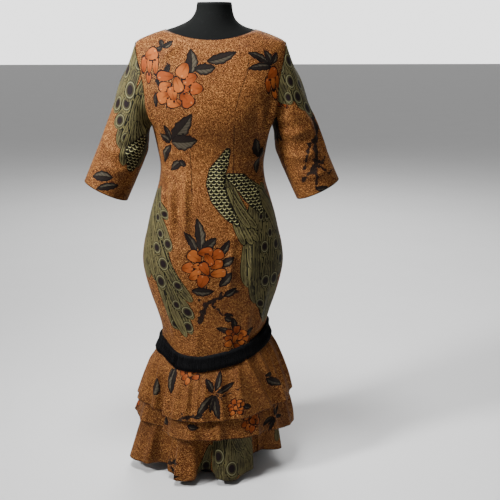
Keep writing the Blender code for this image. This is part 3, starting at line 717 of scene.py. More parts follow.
def draw_bud(cloth, u, v, radius, turn):
    draw_petals(cloth, BUD, u, v, radius, turn)


DRAW = {"leaf": draw_leaf, "bloom": draw_bloom, "bud": draw_bud, "feather": draw_feather,
        "scales": draw_scales, "twig": draw_twig, "dart": draw_dart}
print("shapes in the bird:", len(BIRD))

# %% [markdown]
# The layout says what is printed where on the flat cloth of each piece: across from its middle line and
# up, in metres. The front follows the dress in the view of the camera. The backs, the sleeves' far sides
# and the rest of the flounces carry the same groups at the same density, because such cloth is printed all
# over. The seam lines of the darts are laid with the print, since they too are lines on the flat cloth.
# %% Layout of the print
# A row places one shape, as in the groups, or a group: across, up, scale, turn, mirrored
FRONT_PRINT = (
    # Each dart row lays a seam line that the material darkens with painted seam shade.
    ("dart", 0.104, 1.240, 0.098, 1.200, 0.078, 1.150, 0.064, 1.100),
    ("dart", -0.098, 1.130, -0.078, 1.110, -0.064, 1.090),
    ("dart", 0.062, 1.060, 0.060, 0.940, 0.058, 0.780),
    ("dart", -0.062, 0.990, -0.060, 0.940, -0.058, 0.850),
    ("train", -0.197, 0.872, 1.0, 0, False),
    ("leaf", -0.131, 1.268, -0.146, 1.292, 0.014),
    ("leaf", -0.131, 1.268, -0.104, 1.286, 0.018),
    ("leaf", -0.133, 1.266, -0.152, 1.262, 0.014),
    ("twig", 0.005, -0.120, 1.226, -0.136, 1.196, -0.138, 1.165, -0.128, 1.135, -0.124, 1.108),
    ("leaf", -0.136, 1.186, -0.112, 1.228, 0.014),
    ("leaf", -0.138, 1.160, -0.160, 1.188, 0.010),
    ("leaf", -0.154, 1.150, -0.160, 1.108, 0.016),
    ("leaf", -0.055, 1.198, -0.056, 1.266, 0.034),
    ("leaf", -0.046, 1.212, 0.014, 1.218, 0.030),
    ("leaf", -0.012, 1.232, 0.070, 1.258, 0.028),
    ("leaf", 0.172, 1.220, 0.098, 1.254, 0.020),
    ("leaf", 0.172, 1.216, 0.098, 1.212, 0.020),
    ("leaf", 0.172, 1.222, 0.146, 1.262, 0.020),
    ("leaf", 0.172, 1.224, 0.186, 1.256, 0.020),
    ("leaf", -0.120, 1.018, -0.054, 1.094, 0.042),
    ("leaf", -0.118, 1.014, -0.040, 1.020, 0.046),
    ("leaf", -0.120, 1.014, -0.138, 1.062, 0.016),
    ("leaf", -0.122, 1.010, -0.160, 1.036, 0.022),
    ("leaf", -0.120, 1.004, -0.152, 0.950, 0.024),
    ("leaf", -0.088, 0.958, -0.124, 0.930, 0.024),
    ("leaf", -0.094, 0.962, -0.074, 0.944, 0.016),
    ("leaf", 0.138, 0.966, 0.128, 1.022, 0.032),
    ("leaf", 0.142, 0.966, 0.138, 0.918, 0.026),
    ("leaf", 0.140, 0.966, 0.164, 0.992, 0.018),
    ("leaf", 0.204, 1.110, 0.196, 1.050, 0.022),
    ("bud", -0.172, 1.226, 0.040, 4.0),
    ("bloom", -0.092, 1.166, 0.058, 190.0),
    ("bud", 0.176, 1.176, 0.036, -16.0),
    ("spray", -0.024, 0.663, 1.0, 0, False),
    ("branch", 0.000, 0.556, 1.0, 0, False),
    ("leaf", 0.030, 0.508, 0.058, 0.496, 0.018),
    ("posy", 0.066, 0.438, 0.95, 20, False),
    ("leaf", 0.056, 0.456, 0.004, 0.474, 0.018),
    ("bird", 0.060, 0.800, 1.0, 0, False),
)
BACK_PRINT = (
    ("dart", 0.080, 1.130, 0.078, 0.940, 0.076, 0.800),
    ("dart", -0.080, 1.130, -0.078, 0.940, -0.076, 0.800),
    ("train", 0.245, 0.900, 1.0, 0, True),
    ("spray", 0.045, 0.585, 1.0, 0, True),
    ("branch", 0.045, 0.830, 0.9, 30, False),
    ("spray", 0.105, 1.140, 1.0, 60, True),
    ("posy", -0.125, 1.200, 1.1, 0, False),
    ("star", -0.030, 1.150, 0.9, 20, False),
    ("branch", 0.030, 1.250, 0.7, 0, False),
    ("star", 0.130, 0.980, 0.8, 0, False),
    ("posy", -0.150, 1.030, 1.0, 40, True),
    ("branch", -0.010, 0.470, 1.0, 180, False),
    ("posy", -0.090, 0.450, 1.0, 60, False),
    ("posy", 0.110, 0.440, 0.9, 10, False),
    ("bird", -0.080, 0.800, 1.0, 0, True),
    ("bird_head", -0.080, 0.800, 1.0, 0, True),
)
RIGHT_SLEEVE_PRINT = (
    ("spray", -0.190, -0.130, 1.0, 90, False),
    ("branch", -0.160, -0.290, 1.0, 0, False),
    ("posy", -0.210, -0.380, 0.9, 0, False),
    ("posy", 0.150, -0.330, 0.9, 30, False),
    ("star", 0.170, -0.200, 0.9, 0, True),
    ("leaf", 0.006, -0.374, -0.054, -0.396, 0.030),
    ("leaf", 0.030, -0.390, -0.026, -0.424, 0.022),
    ("feather", 0.060, 0.05, 0.045, -0.200, 0.160, 0.0, 0.0),
    ("feather", -0.060, 0.05, -0.070, -0.200, 0.120, 0.0, 0.0),
    ("feather", 0.020, -0.04, 0.004, -0.290, 0.100, 0.0, 0.0),
    ("feather", 0.060, -0.08, 0.064, -0.325, 0.070, 0.0, 0.0),
    ("feather", -0.020, -0.16, -0.036, -0.240, 0.050, 0.013, 0.05),
    ("feather", 0.000, -0.20, 0.004, -0.275, 0.040, 0.011, 0.05),
    ("feather", -0.060, -0.10, -0.064, -0.204, 0.052, 0.015, 0.05),
    ("feather", -0.030, -0.08, -0.026, -0.190, 0.050, 0.014, 0.05),
    ("feather", -0.030, -0.02, -0.028, -0.158, 0.056, 0.017, 0.05),
    ("feather", -0.080, 0.00, -0.072, -0.112, 0.056, 0.017, 0.05),
    ("feather", 0.030, 0.00, 0.024, -0.114, 0.056, 0.016, 0.05),
    ("feather", -0.020, 0.04, -0.030, -0.074, 0.050, 0.013, 0.05),
    ("feather", 0.018, -0.110, 0.076, -0.210, 0.036, 0.0, 0.10),
    ("feather", 0.006, -0.120, 0.052, -0.232, 0.036, 0.0, 0.10),
    ("feather", 0.000, -0.130, 0.026, -0.246, 0.034, 0.0, 0.10),
    ("feather", 0.018, -0.200, 0.066, -0.270, 0.034, 0.0, 0.08),
    ("feather", 0.010, -0.200, 0.040, -0.285, 0.034, 0.0, 0.08),
    ("feather", 0.004, -0.240, 0.020, -0.330, 0.030, 0.0, 0.05),
    ("scales", 0.056, -0.245, 0.018, 0.040, -0.285, 0.030, 0.046, -0.325, 0.016),
)
LEFT_SLEEVE_PRINT = (
    ("leaf", -0.068, -0.150, -0.052, -0.250, 0.038),
    ("train", 0.200, 0.060, 0.62, 0, True),
    ("branch", 0.200, -0.300, 1.0, 0, True),
    ("posy", 0.260, -0.370, 0.9, 0, False),
    ("posy", -0.170, -0.330, 0.9, 30, False),
    ("star", -0.170, -0.190, 0.9, 0, True),
    ("twig", 0.016, 0.080, -0.215, 0.074, -0.262, 0.042, -0.296, 0.026, -0.340, 0.004, -0.358,
     -0.034, -0.378),
    ("twig", 0.010, 0.062, -0.282, 0.026, -0.287, 0.002, -0.320, -0.015, -0.344),
    ("twig", 0.012, 0.022, -0.336, 0.042, -0.352, 0.060, -0.344),
    ("twig", 0.010, 0.014, -0.350, 0.008, -0.380, -0.004, -0.410),
    ("twig", 0.008, 0.020, -0.346, 0.050, -0.392, 0.066, -0.384),
    ("leaf", -0.040, -0.180, -0.104, -0.250, 0.034),
    ("leaf", -0.050, -0.170, -0.074, -0.258, 0.022),
    ("leaf", -0.010, -0.412, 0.030, -0.424, 0.016),
    ("feather", 0.030, 0.06, 0.010, -0.160, 0.110, 0.0, 0.0),
    ("feather", 0.100, 0.06, 0.100, -0.215, 0.130, 0.0, 0.0),
    ("feather", 0.050, 0.02, 0.056, -0.196, 0.070, 0.0, 0.0),
    ("feather", 0.070, -0.08, 0.076, -0.222, 0.050, 0.015, 0.03),
    ("feather", 0.100, -0.06, 0.112, -0.196, 0.050, 0.015, 0.03),
    ("feather", 0.050, -0.06, 0.048, -0.178, 0.048, 0.014, 0.03),
    ("feather", 0.010, -0.04, 0.014, -0.162, 0.042, 0.011, 0.03),
    ("feather", 0.080, -0.02, 0.084, -0.148, 0.046, 0.013, 0.03),
    ("feather", 0.040, -0.02, 0.038, -0.130, 0.046, 0.014, 0.03),
    ("feather", 0.070, 0.04, 0.062, -0.080, 0.048, 0.015, 0.03),
    ("feather", 0.110, 0.04, 0.112, -0.100, 0.048, 0.015, 0.03),
    ("feather", 0.030, 0.04, 0.020, -0.078, 0.040, 0.010, 0.03),
    ("bud", -0.018, -0.132, 0.028, -30.0),
)
TOP_FLOUNCE_PRINT = (
    ("star", 0.000, -0.094, 1.05, 0, False),
    ("leaf", -0.156, -0.024, -0.150, -0.104, 0.030),
    ("leaf", -0.168, -0.030, -0.176, -0.080, 0.018),
    ("leaf", -0.240, -0.150, -0.226, -0.092, 0.034),
    ("leaf", 0.190, -0.110, 0.240, -0.152, 0.022),
    ("leaf", 0.186, -0.100, 0.216, -0.106, 0.012),
    ("branch", -0.080, -0.160, 0.6, 20, False),
    ("bloom", -0.090, -0.030, 0.034, 0.0),
    ("bloom", 0.064, -0.150, 0.024, 30.0),
    ("leaf", 0.086, -0.150, 0.116, -0.164, 0.016),
    ("twig", 0.004, 0.014, -0.108, 0.060, -0.104, 0.104, -0.092),
    ("posy", 0.380, -0.090, 1.0, 0, False),
    ("train", 0.480, 0.060, 0.52, 0, False),
    ("star", 0.610, -0.100, 0.8, 0, False),
    ("posy", -0.385, -0.100, 1.0, 0, True),
    ("branch", -0.430, -0.070, 0.8, 160, False),
    ("star", -0.485, -0.140, 0.7, 0, False),
    ("train", -0.610, 0.050, 0.52, 0, False),
)
MIDDLE_FLOUNCE_PRINT = (
    ("bloom", 0.118, -0.208, 0.032, 0.0),
    ("leaf", -0.190, -0.190, -0.168, -0.204, 0.020),
    ("leaf", -0.086, -0.184, -0.050, -0.190, 0.018),
    ("star", 0.210, -0.240, 0.6, 40, False),
    ("train", 0.300, -0.080, 0.45, 0, False),
    ("posy", 0.470, -0.230, 0.8, 0, False),
    ("star", 0.580, -0.240, 0.6, 0, False),
    ("posy", -0.370, -0.225, 0.8, 0, False),
    ("train", -0.450, -0.080, 0.45, 0, True),
    ("star", -0.590, -0.235, 0.6, 0, False),
)
BOTTOM_FLOUNCE_PRINT = (
    ("feather", 0.040, -0.12, 0.050, -0.375, 0.170, 0.0, 0.0),
    ("feather", 0.120, -0.14, 0.120, -0.380, 0.110, 0.0, 0.0),
    ("feather", -0.030, -0.30, -0.070, -0.370, 0.060, 0.0, 0.0),
    ("feather", 0.120, -0.20, 0.140, -0.330, 0.070, 0.0, 0.10),
    ("feather", 0.070, -0.22, 0.066, -0.366, 0.056, 0.016, 0.06),
    ("feather", 0.030, -0.20, 0.022, -0.322, 0.056, 0.016, 0.06),
    ("feather", -0.020, -0.26, -0.040, -0.350, 0.040, 0.012, 0.06),
    ("feather", 0.070, -0.18, 0.110, -0.300, 0.050, 0.0, 0.10),
    ("feather", 0.318, -0.290, 0.306, -0.370, 0.034, 0.0, 0.0),
    ("feather", 0.340, -0.260, 0.346, -0.400, 0.060, 0.0, 0.0),
    ("branch", -0.200, -0.330, 0.8, 0, False),
    ("star", -0.165, -0.350, 0.5, 0, False),
    ("posy", -0.410, -0.330, 0.9, 0, False),
    ("train", 0.440, -0.130, 0.55, 0, False),
    ("posy", 0.560, -0.330, 0.9, 0, False),
    ("star", 0.650, -0.320, 0.8, 0, False),
    ("train", -0.500, -0.130, 0.55, 0, True),
    ("star", -0.580, -0.330, 0.8, 0, False),
    ("posy", -0.680, -0.330, 0.9, 0, False),
)
PRINT = {
    "dress_front": FRONT_PRINT,
    "dress_back_left": BACK_PRINT,
    "dress_back_right": BACK_PRINT,
    "sleeve_right": RIGHT_SLEEVE_PRINT,
    "sleeve_left": LEFT_SLEEVE_PRINT,
    "flounce_top": TOP_FLOUNCE_PRINT,
    "flounce_middle": MIDDLE_FLOUNCE_PRINT,
    "flounce_bottom": BOTTOM_FLOUNCE_PRINT,
}


def print_fields(name, corners):
    """Everything printed on one piece, as numbers at the corners of its faces."""
    cloth = blank_print(corners)
    for kind, *numbers in PRINT[name]:
        if kind not in GROUPS:
            DRAW[kind](cloth, *numbers)
            continue
        for shape in GROUPS[kind]:
            moved_kind, *moved = moved_shape(shape, *numbers)
            DRAW[moved_kind](cloth, *moved)
    return cloth["fields"]


print("pieces with a print:", len(PRINT))

# %% [markdown]
# The cotton's material turns the distances into inks. Each ink is mixed over the ones under it, as a
# printer lays them: ground, squiggles, twigs, leaves, flowers, then the birds with their scales and eyes.
# The squiggles and the small scales are worked out from the cloth's own map, so they keep their size on
# every piece.
# %% Helpers for materials
def new_material(name):
    material = bpy.data.materials.new(name)
    material.use_nodes = True
    return material, material.node_tree, material.node_tree.nodes["Principled BSDF"]


def feed(tree, socket, value):
    """Give a socket a number, a colour or another socket."""
    if isinstance(value, bpy.types.NodeSocket):
        tree.links.new(value, socket)
    elif isinstance(value, tuple) and len(value) == 3 and socket.type == "RGBA":
        socket.default_value = (*value, 1.0)
    else:
        socket.default_value = value


def maths(tree, operation, first, second=0.0, third=0.0):
    """One step of arithmetic on sockets or numbers."""
    node = tree.nodes.new("ShaderNodeMath")
    node.operation = operation
    for socket, value in zip(node.inputs, (first, second, third)):
        feed(tree, socket, value)
    return node.outputs[0]


def ramp(tree, value, low, high, start=0.0, end=1.0):
    """Smooth change from start to end as a value goes from low to high."""
    node = tree.nodes.new("ShaderNodeMapRange")
    node.interpolation_type = "SMOOTHSTEP"
    for socket, number in zip(node.inputs[:5], (value, low, high, start, end)):
        feed(tree, socket, number)
    return node.outputs[0]


def blend_ink(tree, amount, under, over):
    node = tree.nodes.new("ShaderNodeMix")
    node.data_type = "RGBA"
    feed(tree, node.inputs[0], amount)
    feed(tree, node.inputs[6], under)
    feed(tree, node.inputs[7], over)
    return node.outputs[2]


def noise(tree, vector, scale, detail=2.0, distortion=0.0):
    node = tree.nodes.new("ShaderNodeTexNoise")
    feed(tree, node.inputs["Vector"], vector)
    node.inputs["Scale"].default_value = scale
    node.inputs["Detail"].default_value = detail
    node.inputs["Distortion"].default_value = distortion
    return node.outputs["Fac"]


def field(tree, name):
    node = tree.nodes.new("ShaderNodeAttribute")
    node.attribute_name = name
    return node.outputs["Fac"]


def cloth_place(tree):
    node = tree.nodes.new("ShaderNodeUVMap")
    node.uv_map = "cloth"
    return node.outputs["UV"]


def times(tree, first, second):
    return maths(tree, "MULTIPLY", first, second)


def plus(tree, first, second):
    return maths(tree, "ADD", first, second)


def object_place(tree):
    return tree.nodes.new("ShaderNodeTexCoord").outputs["Object"]


def bump(tree, shader, height, strength, distance):
    node = tree.nodes.new("ShaderNodeBump")
    node.inputs["Strength"].default_value = strength
    node.inputs["Distance"].default_value = distance
    feed(tree, node.inputs["Height"], height)
    tree.links.new(node.outputs["Normal"], shader.inputs["Normal"])


# %% [markdown]
# A wax print has few inks: a rust ground full of fine golden squiggles where the wax cracked, orange
# petals, dark leaves, and olive feathers with pale lines. The inks are mixed from the stored distances and
# from noise laid along the cloth, so that the marks run with the threads. A painted picture would blur in
# a close view.
# %% Inks of the wax print
GROUND = (0.0600, 0.0140, 0.0026)
GROUND_DARK = (0.0220, 0.0045, 0.0010)
SQUIGGLE = (0.5200, 0.2450, 0.0700)
ORANGE = (0.1820, 0.0380, 0.0070)
ORANGE_LIGHT = (0.2550, 0.0700, 0.0130)
ORANGE_DEEP = (0.0900, 0.0150, 0.0012)
HIGHLIGHT = (0.5200, 0.2600, 0.1000)
OUTLINE_AND_PAINTED_SHADE = (0.0050, 0.0020, 0.0012)
LEAF_GREY = (0.0600, 0.0500, 0.0330)
LEAF_BROWN = (0.0090, 0.0056, 0.0042)
LEAF_DARK = (0.0036, 0.0022, 0.0018)
TWIG_GREY = (0.0240, 0.0130, 0.0080)
TWIG_DARK = (0.0040, 0.0020, 0.0014)
PLUME = (0.0620, 0.0510, 0.0215)
PLUME_SHADE = (0.0290, 0.0240, 0.0112)
PLUME_LIGHT = (0.1150, 0.1000, 0.0370)
PLUME_DARK = (0.0036, 0.0030, 0.0016)
EYE_DARK = (0.0070, 0.0034, 0.0038)
EYE_PALE = (0.1200, 0.1120, 0.0560)
SCALE_PALE = (0.3600, 0.3300, 0.1500)
STITCH = (0.0120, 0.0045, 0.0020)
SCALE_WIDTH = 0.0145
SCALE_PITCH = 0.0086
SQUIGGLES_TO_A_METRE = 310.0
GRAIN_TO_A_METRE = 380.0
STITCHES_FROM_EDGE = 0.014
STITCH_PITCH = 0.0046


def scale_pattern(tree, place):
    """Rows of small crescents, each row shifted by half a scale."""
    apart = tree.nodes.new("ShaderNodeSeparateXYZ")
    tree.links.new(place, apart.inputs[0])
    up = maths(tree, "DIVIDE", apart.outputs[1], SCALE_PITCH)
    odd = times(tree, maths(tree, "PINGPONG", maths(tree, "FLOOR", up), 1.0), 0.5)
    across = plus(tree, maths(tree, "DIVIDE", apart.outputs[0], SCALE_WIDTH), odd)
    x = maths(tree, "SUBTRACT", maths(tree, "FRACT", across), 0.5)
    y = times(tree, maths(tree, "SUBTRACT", maths(tree, "FRACT", up), 0.95), SCALE_PITCH / SCALE_WIDTH)
    outer = maths(tree, "SQRT", plus(tree, times(tree, x, x), times(tree, y, y)))
    raised = maths(tree, "SUBTRACT", y, 0.17)
    inner = maths(tree, "SQRT", plus(tree, times(tree, x, x), times(tree, raised, raised)))
    return times(tree, ramp(tree, outer, 0.38, 0.44, 1.0, 0.0), ramp(tree, inner, 0.40, 0.48))


def covered(tree, kind, edge):
    """1 inside a shape and on its outline, and where another shape of its kind lies under it."""
    inside = ramp(tree, field(tree, kind), edge - 0.0003, edge + 0.0003, 1.0, 0.0)
    return maths(tree, "MAXIMUM", inside, field(tree, kind + "_under"))


def stripes(tree, value, pitch, low, high):
    """Soft lines at an even pitch: 1 on each line."""
    wave = maths(tree, "SINE", times(tree, value, 2 * math.pi / pitch))
    return ramp(tree, wave, low, high)


def ground_ink(tree, place):
    """Rust ground with a fine dark grain, golden squiggles and slightly worn patches."""
    squiggles = noise(tree, place, SQUIGGLES_TO_A_METRE, 1.0, 0.6)
    worms = maths(tree, "ABSOLUTE", maths(tree, "SUBTRACT", squiggles, 0.5))
    patches = noise(tree, place, GRAIN_TO_A_METRE, 1.0)
    ink = blend_ink(tree, ramp(tree, patches, 0.32, 0.54), GROUND_DARK, GROUND)
    ink = blend_ink(tree, ramp(tree, worms, 0.002, 0.040, 1.0, 0.0), ink, SQUIGGLE)
    worn = noise(tree, place, 9.0, 3.0)
    return blend_ink(tree, ramp(tree, worn, 0.35, 0.75, 0.0, 0.35), ink, GROUND_DARK)


def leaf_ink(tree, wobble):
    """Leaf that is grey on one side of its midrib, with dark ribs and a dark edge."""
    edge = plus(tree, field(tree, "leaf"), times(tree, wobble, 0.004))
    rib = maths(tree, "ABSOLUTE", field(tree, "leaf_rib"))
    slant = maths(tree, "SUBTRACT", field(tree, "leaf_along"), times(tree, rib, 1.3))
    lit = ramp(tree, field(tree, "leaf_rib"), -0.0008, 0.0010)
    lit = times(tree, lit, ramp(tree, edge, -0.0075, -0.0035, 1.0, 0.25))
    ink = blend_ink(tree, lit, LEAF_BROWN, LEAF_GREY)
    ribs = times(tree, stripes(tree, slant, 0.0120, 0.55, 0.95), 0.6)
    ink = blend_ink(tree, ribs, ink, LEAF_DARK)
    ink = blend_ink(tree, times(tree, field(tree, "leaf_tone"), 0.35), ink, LEAF_BROWN)
    ink = blend_ink(tree, ramp(tree, rib, 0.0006, 0.0013, 1.0, 0.0), ink, LEAF_DARK)
    return blend_ink(tree, ramp(tree, edge, -0.0034, -0.0022), ink, LEAF_DARK)


def petal_ink(tree, wobble):
    """Orange petal, deeper at its foot, with a crease, a small light and a dark outline."""
    along, rib = field(tree, "petal_along"), field(tree, "petal_rib")
    tone = plus(tree, field(tree, "petal_tone"), times(tree, wobble, 1.5))
    ink = blend_ink(tree, ramp(tree, tone, 0.1, 0.9), ORANGE, ORANGE_LIGHT)
    ink = blend_ink(tree, ramp(tree, along, -0.42, 0.02, 0.75, 0.0), ink, ORANGE_DEEP)
    crease = maths(tree, "ABSOLUTE", plus(tree, rib, times(tree, wobble, 0.25)))
    crease = ramp(tree, crease, 0.02, 0.09, 1.0, 0.0)
    crease = times(tree, crease, ramp(tree, along, -0.1, 0.2, 0.6, 0.0))
    ink = blend_ink(tree, crease, ink, ORANGE_DEEP)
    spot_along = maths(tree, "SUBTRACT", along, 0.34)
    spot_across = plus(tree, rib, 0.16)
    spot = plus(tree, times(tree, spot_along, spot_along), times(tree, spot_across, spot_across))
    ink = blend_ink(tree, ramp(tree, spot, 0.0, 0.010, 0.28, 0.0), ink, HIGHLIGHT)
    edge = plus(tree, field(tree, "petal"), times(tree, wobble, 0.005))
    return blend_ink(tree, ramp(tree, edge, -0.0012, -0.0006), ink, OUTLINE_AND_PAINTED_SHADE)


def plume_ink(tree, place, wobble):
    """Olive feather with pale and dark strands, an eye of four rings, or rows of scales."""
    edge = field(tree, "plume")
    rib = plus(tree, field(tree, "plume_rib"), times(tree, wobble, 0.010))
    slow = plus(tree, noise(tree, place, 22.0, 2.0),
                times(tree, maths(tree, "SUBTRACT", field(tree, "plume_tone"), 0.5), 0.3))
    ink = blend_ink(tree, ramp(tree, slow, 0.38, 0.62), PLUME_SHADE, PLUME)
    patchy = noise(tree, place, 46.0, 2.0)
    pale = stripes(tree, rib, 0.0072, 0.20, 0.90)
    pale = times(tree, pale, ramp(tree, patchy, 0.36, 0.60, 0.15, 0.85))
    ink = blend_ink(tree, pale, ink, PLUME_LIGHT)
    lower = times(tree, rib, -1.0)
    dark = stripes(tree, lower, 0.0108, 0.62, 0.95)
    dark = times(tree, dark, ramp(tree, patchy, 0.40, 0.62, 0.80, 0.10))
    ink = blend_ink(tree, dark, ink, PLUME_DARK)
    ink = blend_ink(tree, ramp(tree, edge, -0.0046, -0.0032, 0.0, 0.8), ink, PLUME_LIGHT)
    eye = field(tree, "eye")
    ink = blend_ink(tree, ramp(tree, eye, 1.18, 1.30, 0.8, 0.0), ink, PLUME_DARK)
    ink = blend_ink(tree, ramp(tree, eye, 1.06, 1.14, 1.0, 0.0), ink, EYE_PALE)
    ink = blend_ink(tree, ramp(tree, eye, 0.88, 0.96, 1.0, 0.0), ink, PLUME_SHADE)
    ink = blend_ink(tree, ramp(tree, eye, 0.58, 0.70, 1.0, 0.0), ink, EYE_DARK)
    shake = tree.nodes.new("ShaderNodeTexNoise")
    shake.inputs["Scale"].default_value = 60.0
    tree.links.new(place, shake.inputs["Vector"])
    shaken = tree.nodes.new("ShaderNodeVectorMath")
    shaken.operation = "MULTIPLY_ADD"
    tree.links.new(shake.outputs["Color"], shaken.inputs[0])
    shaken.inputs[1].default_value = (0.007, 0.007, 0.0)
    tree.links.new(place, shaken.inputs[2])
    scaled = blend_ink(tree, scale_pattern(tree, shaken.outputs[0]), PLUME_DARK, SCALE_PALE)
    ink = blend_ink(tree, field(tree, "scaly"), ink, scaled)
    return blend_ink(tree, ramp(tree, edge, -0.0022, -0.0014), ink, PLUME_DARK)


def sewing_and_painted_shade(tree, ink, place):
    """Darts as fine dark lines of painted seam shade, stitches a little in from each edge, and painted shade
    at each edge.
    """
    dart = maths(tree, "ABSOLUTE", field(tree, "dart"))
    # Painted seam shade: the ink darkens by up to 70 % within 2.4 mm of each dart's line.
    ink = blend_ink(tree, ramp(tree, dart, 0.0004, 0.0024, 0.70, 0.0), ink, OUTLINE_AND_PAINTED_SHADE)
    hem = field(tree, "hem")
    row = maths(tree, "ABSOLUTE", maths(tree, "SUBTRACT", hem, STITCHES_FROM_EDGE))
    row = ramp(tree, row, 0.0003, 0.0007, 0.8, 0.0)
    apart = tree.nodes.new("ShaderNodeSeparateXYZ")
    tree.links.new(place, apart.inputs[0])
    gap = stripes(tree, apart.outputs[0], STITCH_PITCH, -0.5, -0.2)
    ink = blend_ink(tree, times(tree, row, gap), ink, STITCH)
    # Painted shade along each finished edge: up to 75 % darker within 3 mm of the top edges, cuffs and hems.
    return blend_ink(tree, ramp(tree, hem, 0.0006, 0.0030, 0.75, 0.0), ink, OUTLINE_AND_PAINTED_SHADE), dart


def make_wax_print():
    _, tree, shader = new_material("wax_print_cotton")
    place = cloth_place(tree)
    wobble = maths(tree, "SUBTRACT", noise(tree, place, 85.0, 2.0), 0.5)
    ink = ground_ink(tree, place)
    bark = ramp(tree, noise(tree, place, 240.0, 2.0, 2.0), 0.45, 0.60)
    bark = blend_ink(tree, bark, TWIG_DARK, TWIG_GREY)
    twig = plus(tree, field(tree, "twig"), times(tree, wobble, 0.016))
    ink = blend_ink(tree, ramp(tree, twig, -0.0005, 0.0005, 1.0, 0.0), ink, bark)
    ink = blend_ink(tree, covered(tree, "leaf", 0.0006), ink, leaf_ink(tree, wobble))
    ink = blend_ink(tree, covered(tree, "petal", 0.0014), ink, petal_ink(tree, wobble))
    ink = blend_ink(tree, covered(tree, "plume", 0.0006), ink, plume_ink(tree, place, wobble))
    ink, dart = sewing_and_painted_shade(tree, ink, place)
    tree.links.new(ink, shader.inputs["Base Color"])
    shader.inputs["Roughness"].default_value = 0.72
    shader.inputs["Specular IOR Level"].default_value = 0.10
    weave = noise(tree, place, 260.0, 3.0)
    groove = ramp(tree, dart, 0.0, 0.0030, -2.0, 0.0)
    bump(tree, shader, plus(tree, weave, groove), 0.25, 0.0006)


make_wax_print()
print("inks mixed")

# %% [markdown]
# Each fold is a soft ridge or trough along a short line on the cloth, strongest in its middle. The main
# ones are listed where the cloth strains or hangs loose: under the arms, at the waist and down the
# skirt. A simulation would put folds where it likes, so lines placed one by one suit a dress with known folds
# better. The small gathers of the flounces are many and uneven, so a loop lays them from a fixed seed, and
# leaves the places clear where the main folds are.
# %% Folds
FOLD_LIMIT = 0.017
GATHER_SEED = 11
SHEET_THICKNESS = 0.0011
# A fold's row: height, half width, then across and up of each spot on its line
FRONT_FOLDS = (
    (0.0090, 0.009, -0.154, 0.880, -0.152, 0.830, -0.147, 0.770),
    (-0.0030, 0.007, -0.138, 0.880, -0.137, 0.840, -0.133, 0.780),
    (0.0120, 0.010, -0.122, 0.900, -0.121, 0.830, -0.118, 0.750),
    (-0.0035, 0.008, -0.101, 0.920, -0.100, 0.840, -0.097, 0.740),
    (0.0120, 0.011, -0.078, 0.930, -0.078, 0.830, -0.077, 0.730),
    (0.0090, 0.010, 0.118, 0.740, 0.110, 0.660, 0.106, 0.580),
    (0.0073, 0.012, 0.020, 0.960, 0.022, 0.920, 0.026, 0.880),
    (-0.0020, 0.007, 0.040, 0.720, 0.036, 0.660, 0.034, 0.600),
    (0.0081, 0.010, 0.054, 0.730, 0.050, 0.660, 0.046, 0.580),
    (0.0061, 0.012, 0.180, 0.890, 0.150, 0.870, 0.120, 0.862),
    (-0.0022, 0.010, 0.176, 0.915, 0.140, 0.896, 0.104, 0.892),
    (0.0061, 0.012, -0.176, 0.930, -0.150, 0.915, -0.126, 0.912),
    (0.0061, 0.013, 0.170, 0.985, 0.130, 0.962, 0.090, 0.955),
    (-0.0022, 0.010, 0.172, 1.010, 0.128, 0.988, 0.086, 0.984),
    (0.0057, 0.012, -0.170, 1.000, -0.138, 0.982, -0.100, 0.976),
    (0.0170, 0.011, 0.196, 1.150, 0.184, 1.100, 0.168, 1.052, 0.170, 1.000),
    (-0.0024, 0.008, 0.176, 1.130, 0.164, 1.090, 0.150, 1.040),
    (0.0101, 0.013, 0.140, 1.110, 0.148, 1.070, 0.140, 1.020),
    (0.0142, 0.011, -0.196, 1.140, -0.184, 1.095, -0.176, 1.050),
    (0.0072, 0.012, -0.170, 1.100, -0.150, 1.060, -0.140, 1.010),
    (0.0081, 0.012, 0.168, 0.600, 0.150, 0.520, 0.146, 0.440),
    (-0.0024, 0.009, 0.128, 0.560, 0.122, 0.490, 0.124, 0.430),
    (0.0081, 0.012, 0.102, 0.520, 0.098, 0.460, 0.104, 0.400),
    (0.0061, 0.012, 0.040, 0.500, 0.038, 0.440, 0.042, 0.390),
    (-0.0024, 0.010, 0.070, 0.480, 0.068, 0.430, 0.072, 0.395),
    (0.0065, 0.013, -0.050, 0.470, -0.052, 0.420, -0.048, 0.385),
    (0.0073, 0.013, -0.146, 0.560, -0.130, 0.480, -0.128, 0.420),
    (-0.0022, 0.010, -0.100, 0.500, -0.096, 0.440, -0.094, 0.400),
    (0.0053, 0.018, -0.120, 0.700, -0.060, 0.712, 0.000, 0.706),
    (0.0049, 0.016, 0.010, 0.735, 0.080, 0.745, 0.150, 0.730),
    (0.0061, 0.012, -0.140, 1.240, -0.110, 1.262, -0.080, 1.286),
    (0.0061, 0.012, 0.140, 1.236, 0.112, 1.258, 0.084, 1.284),
)
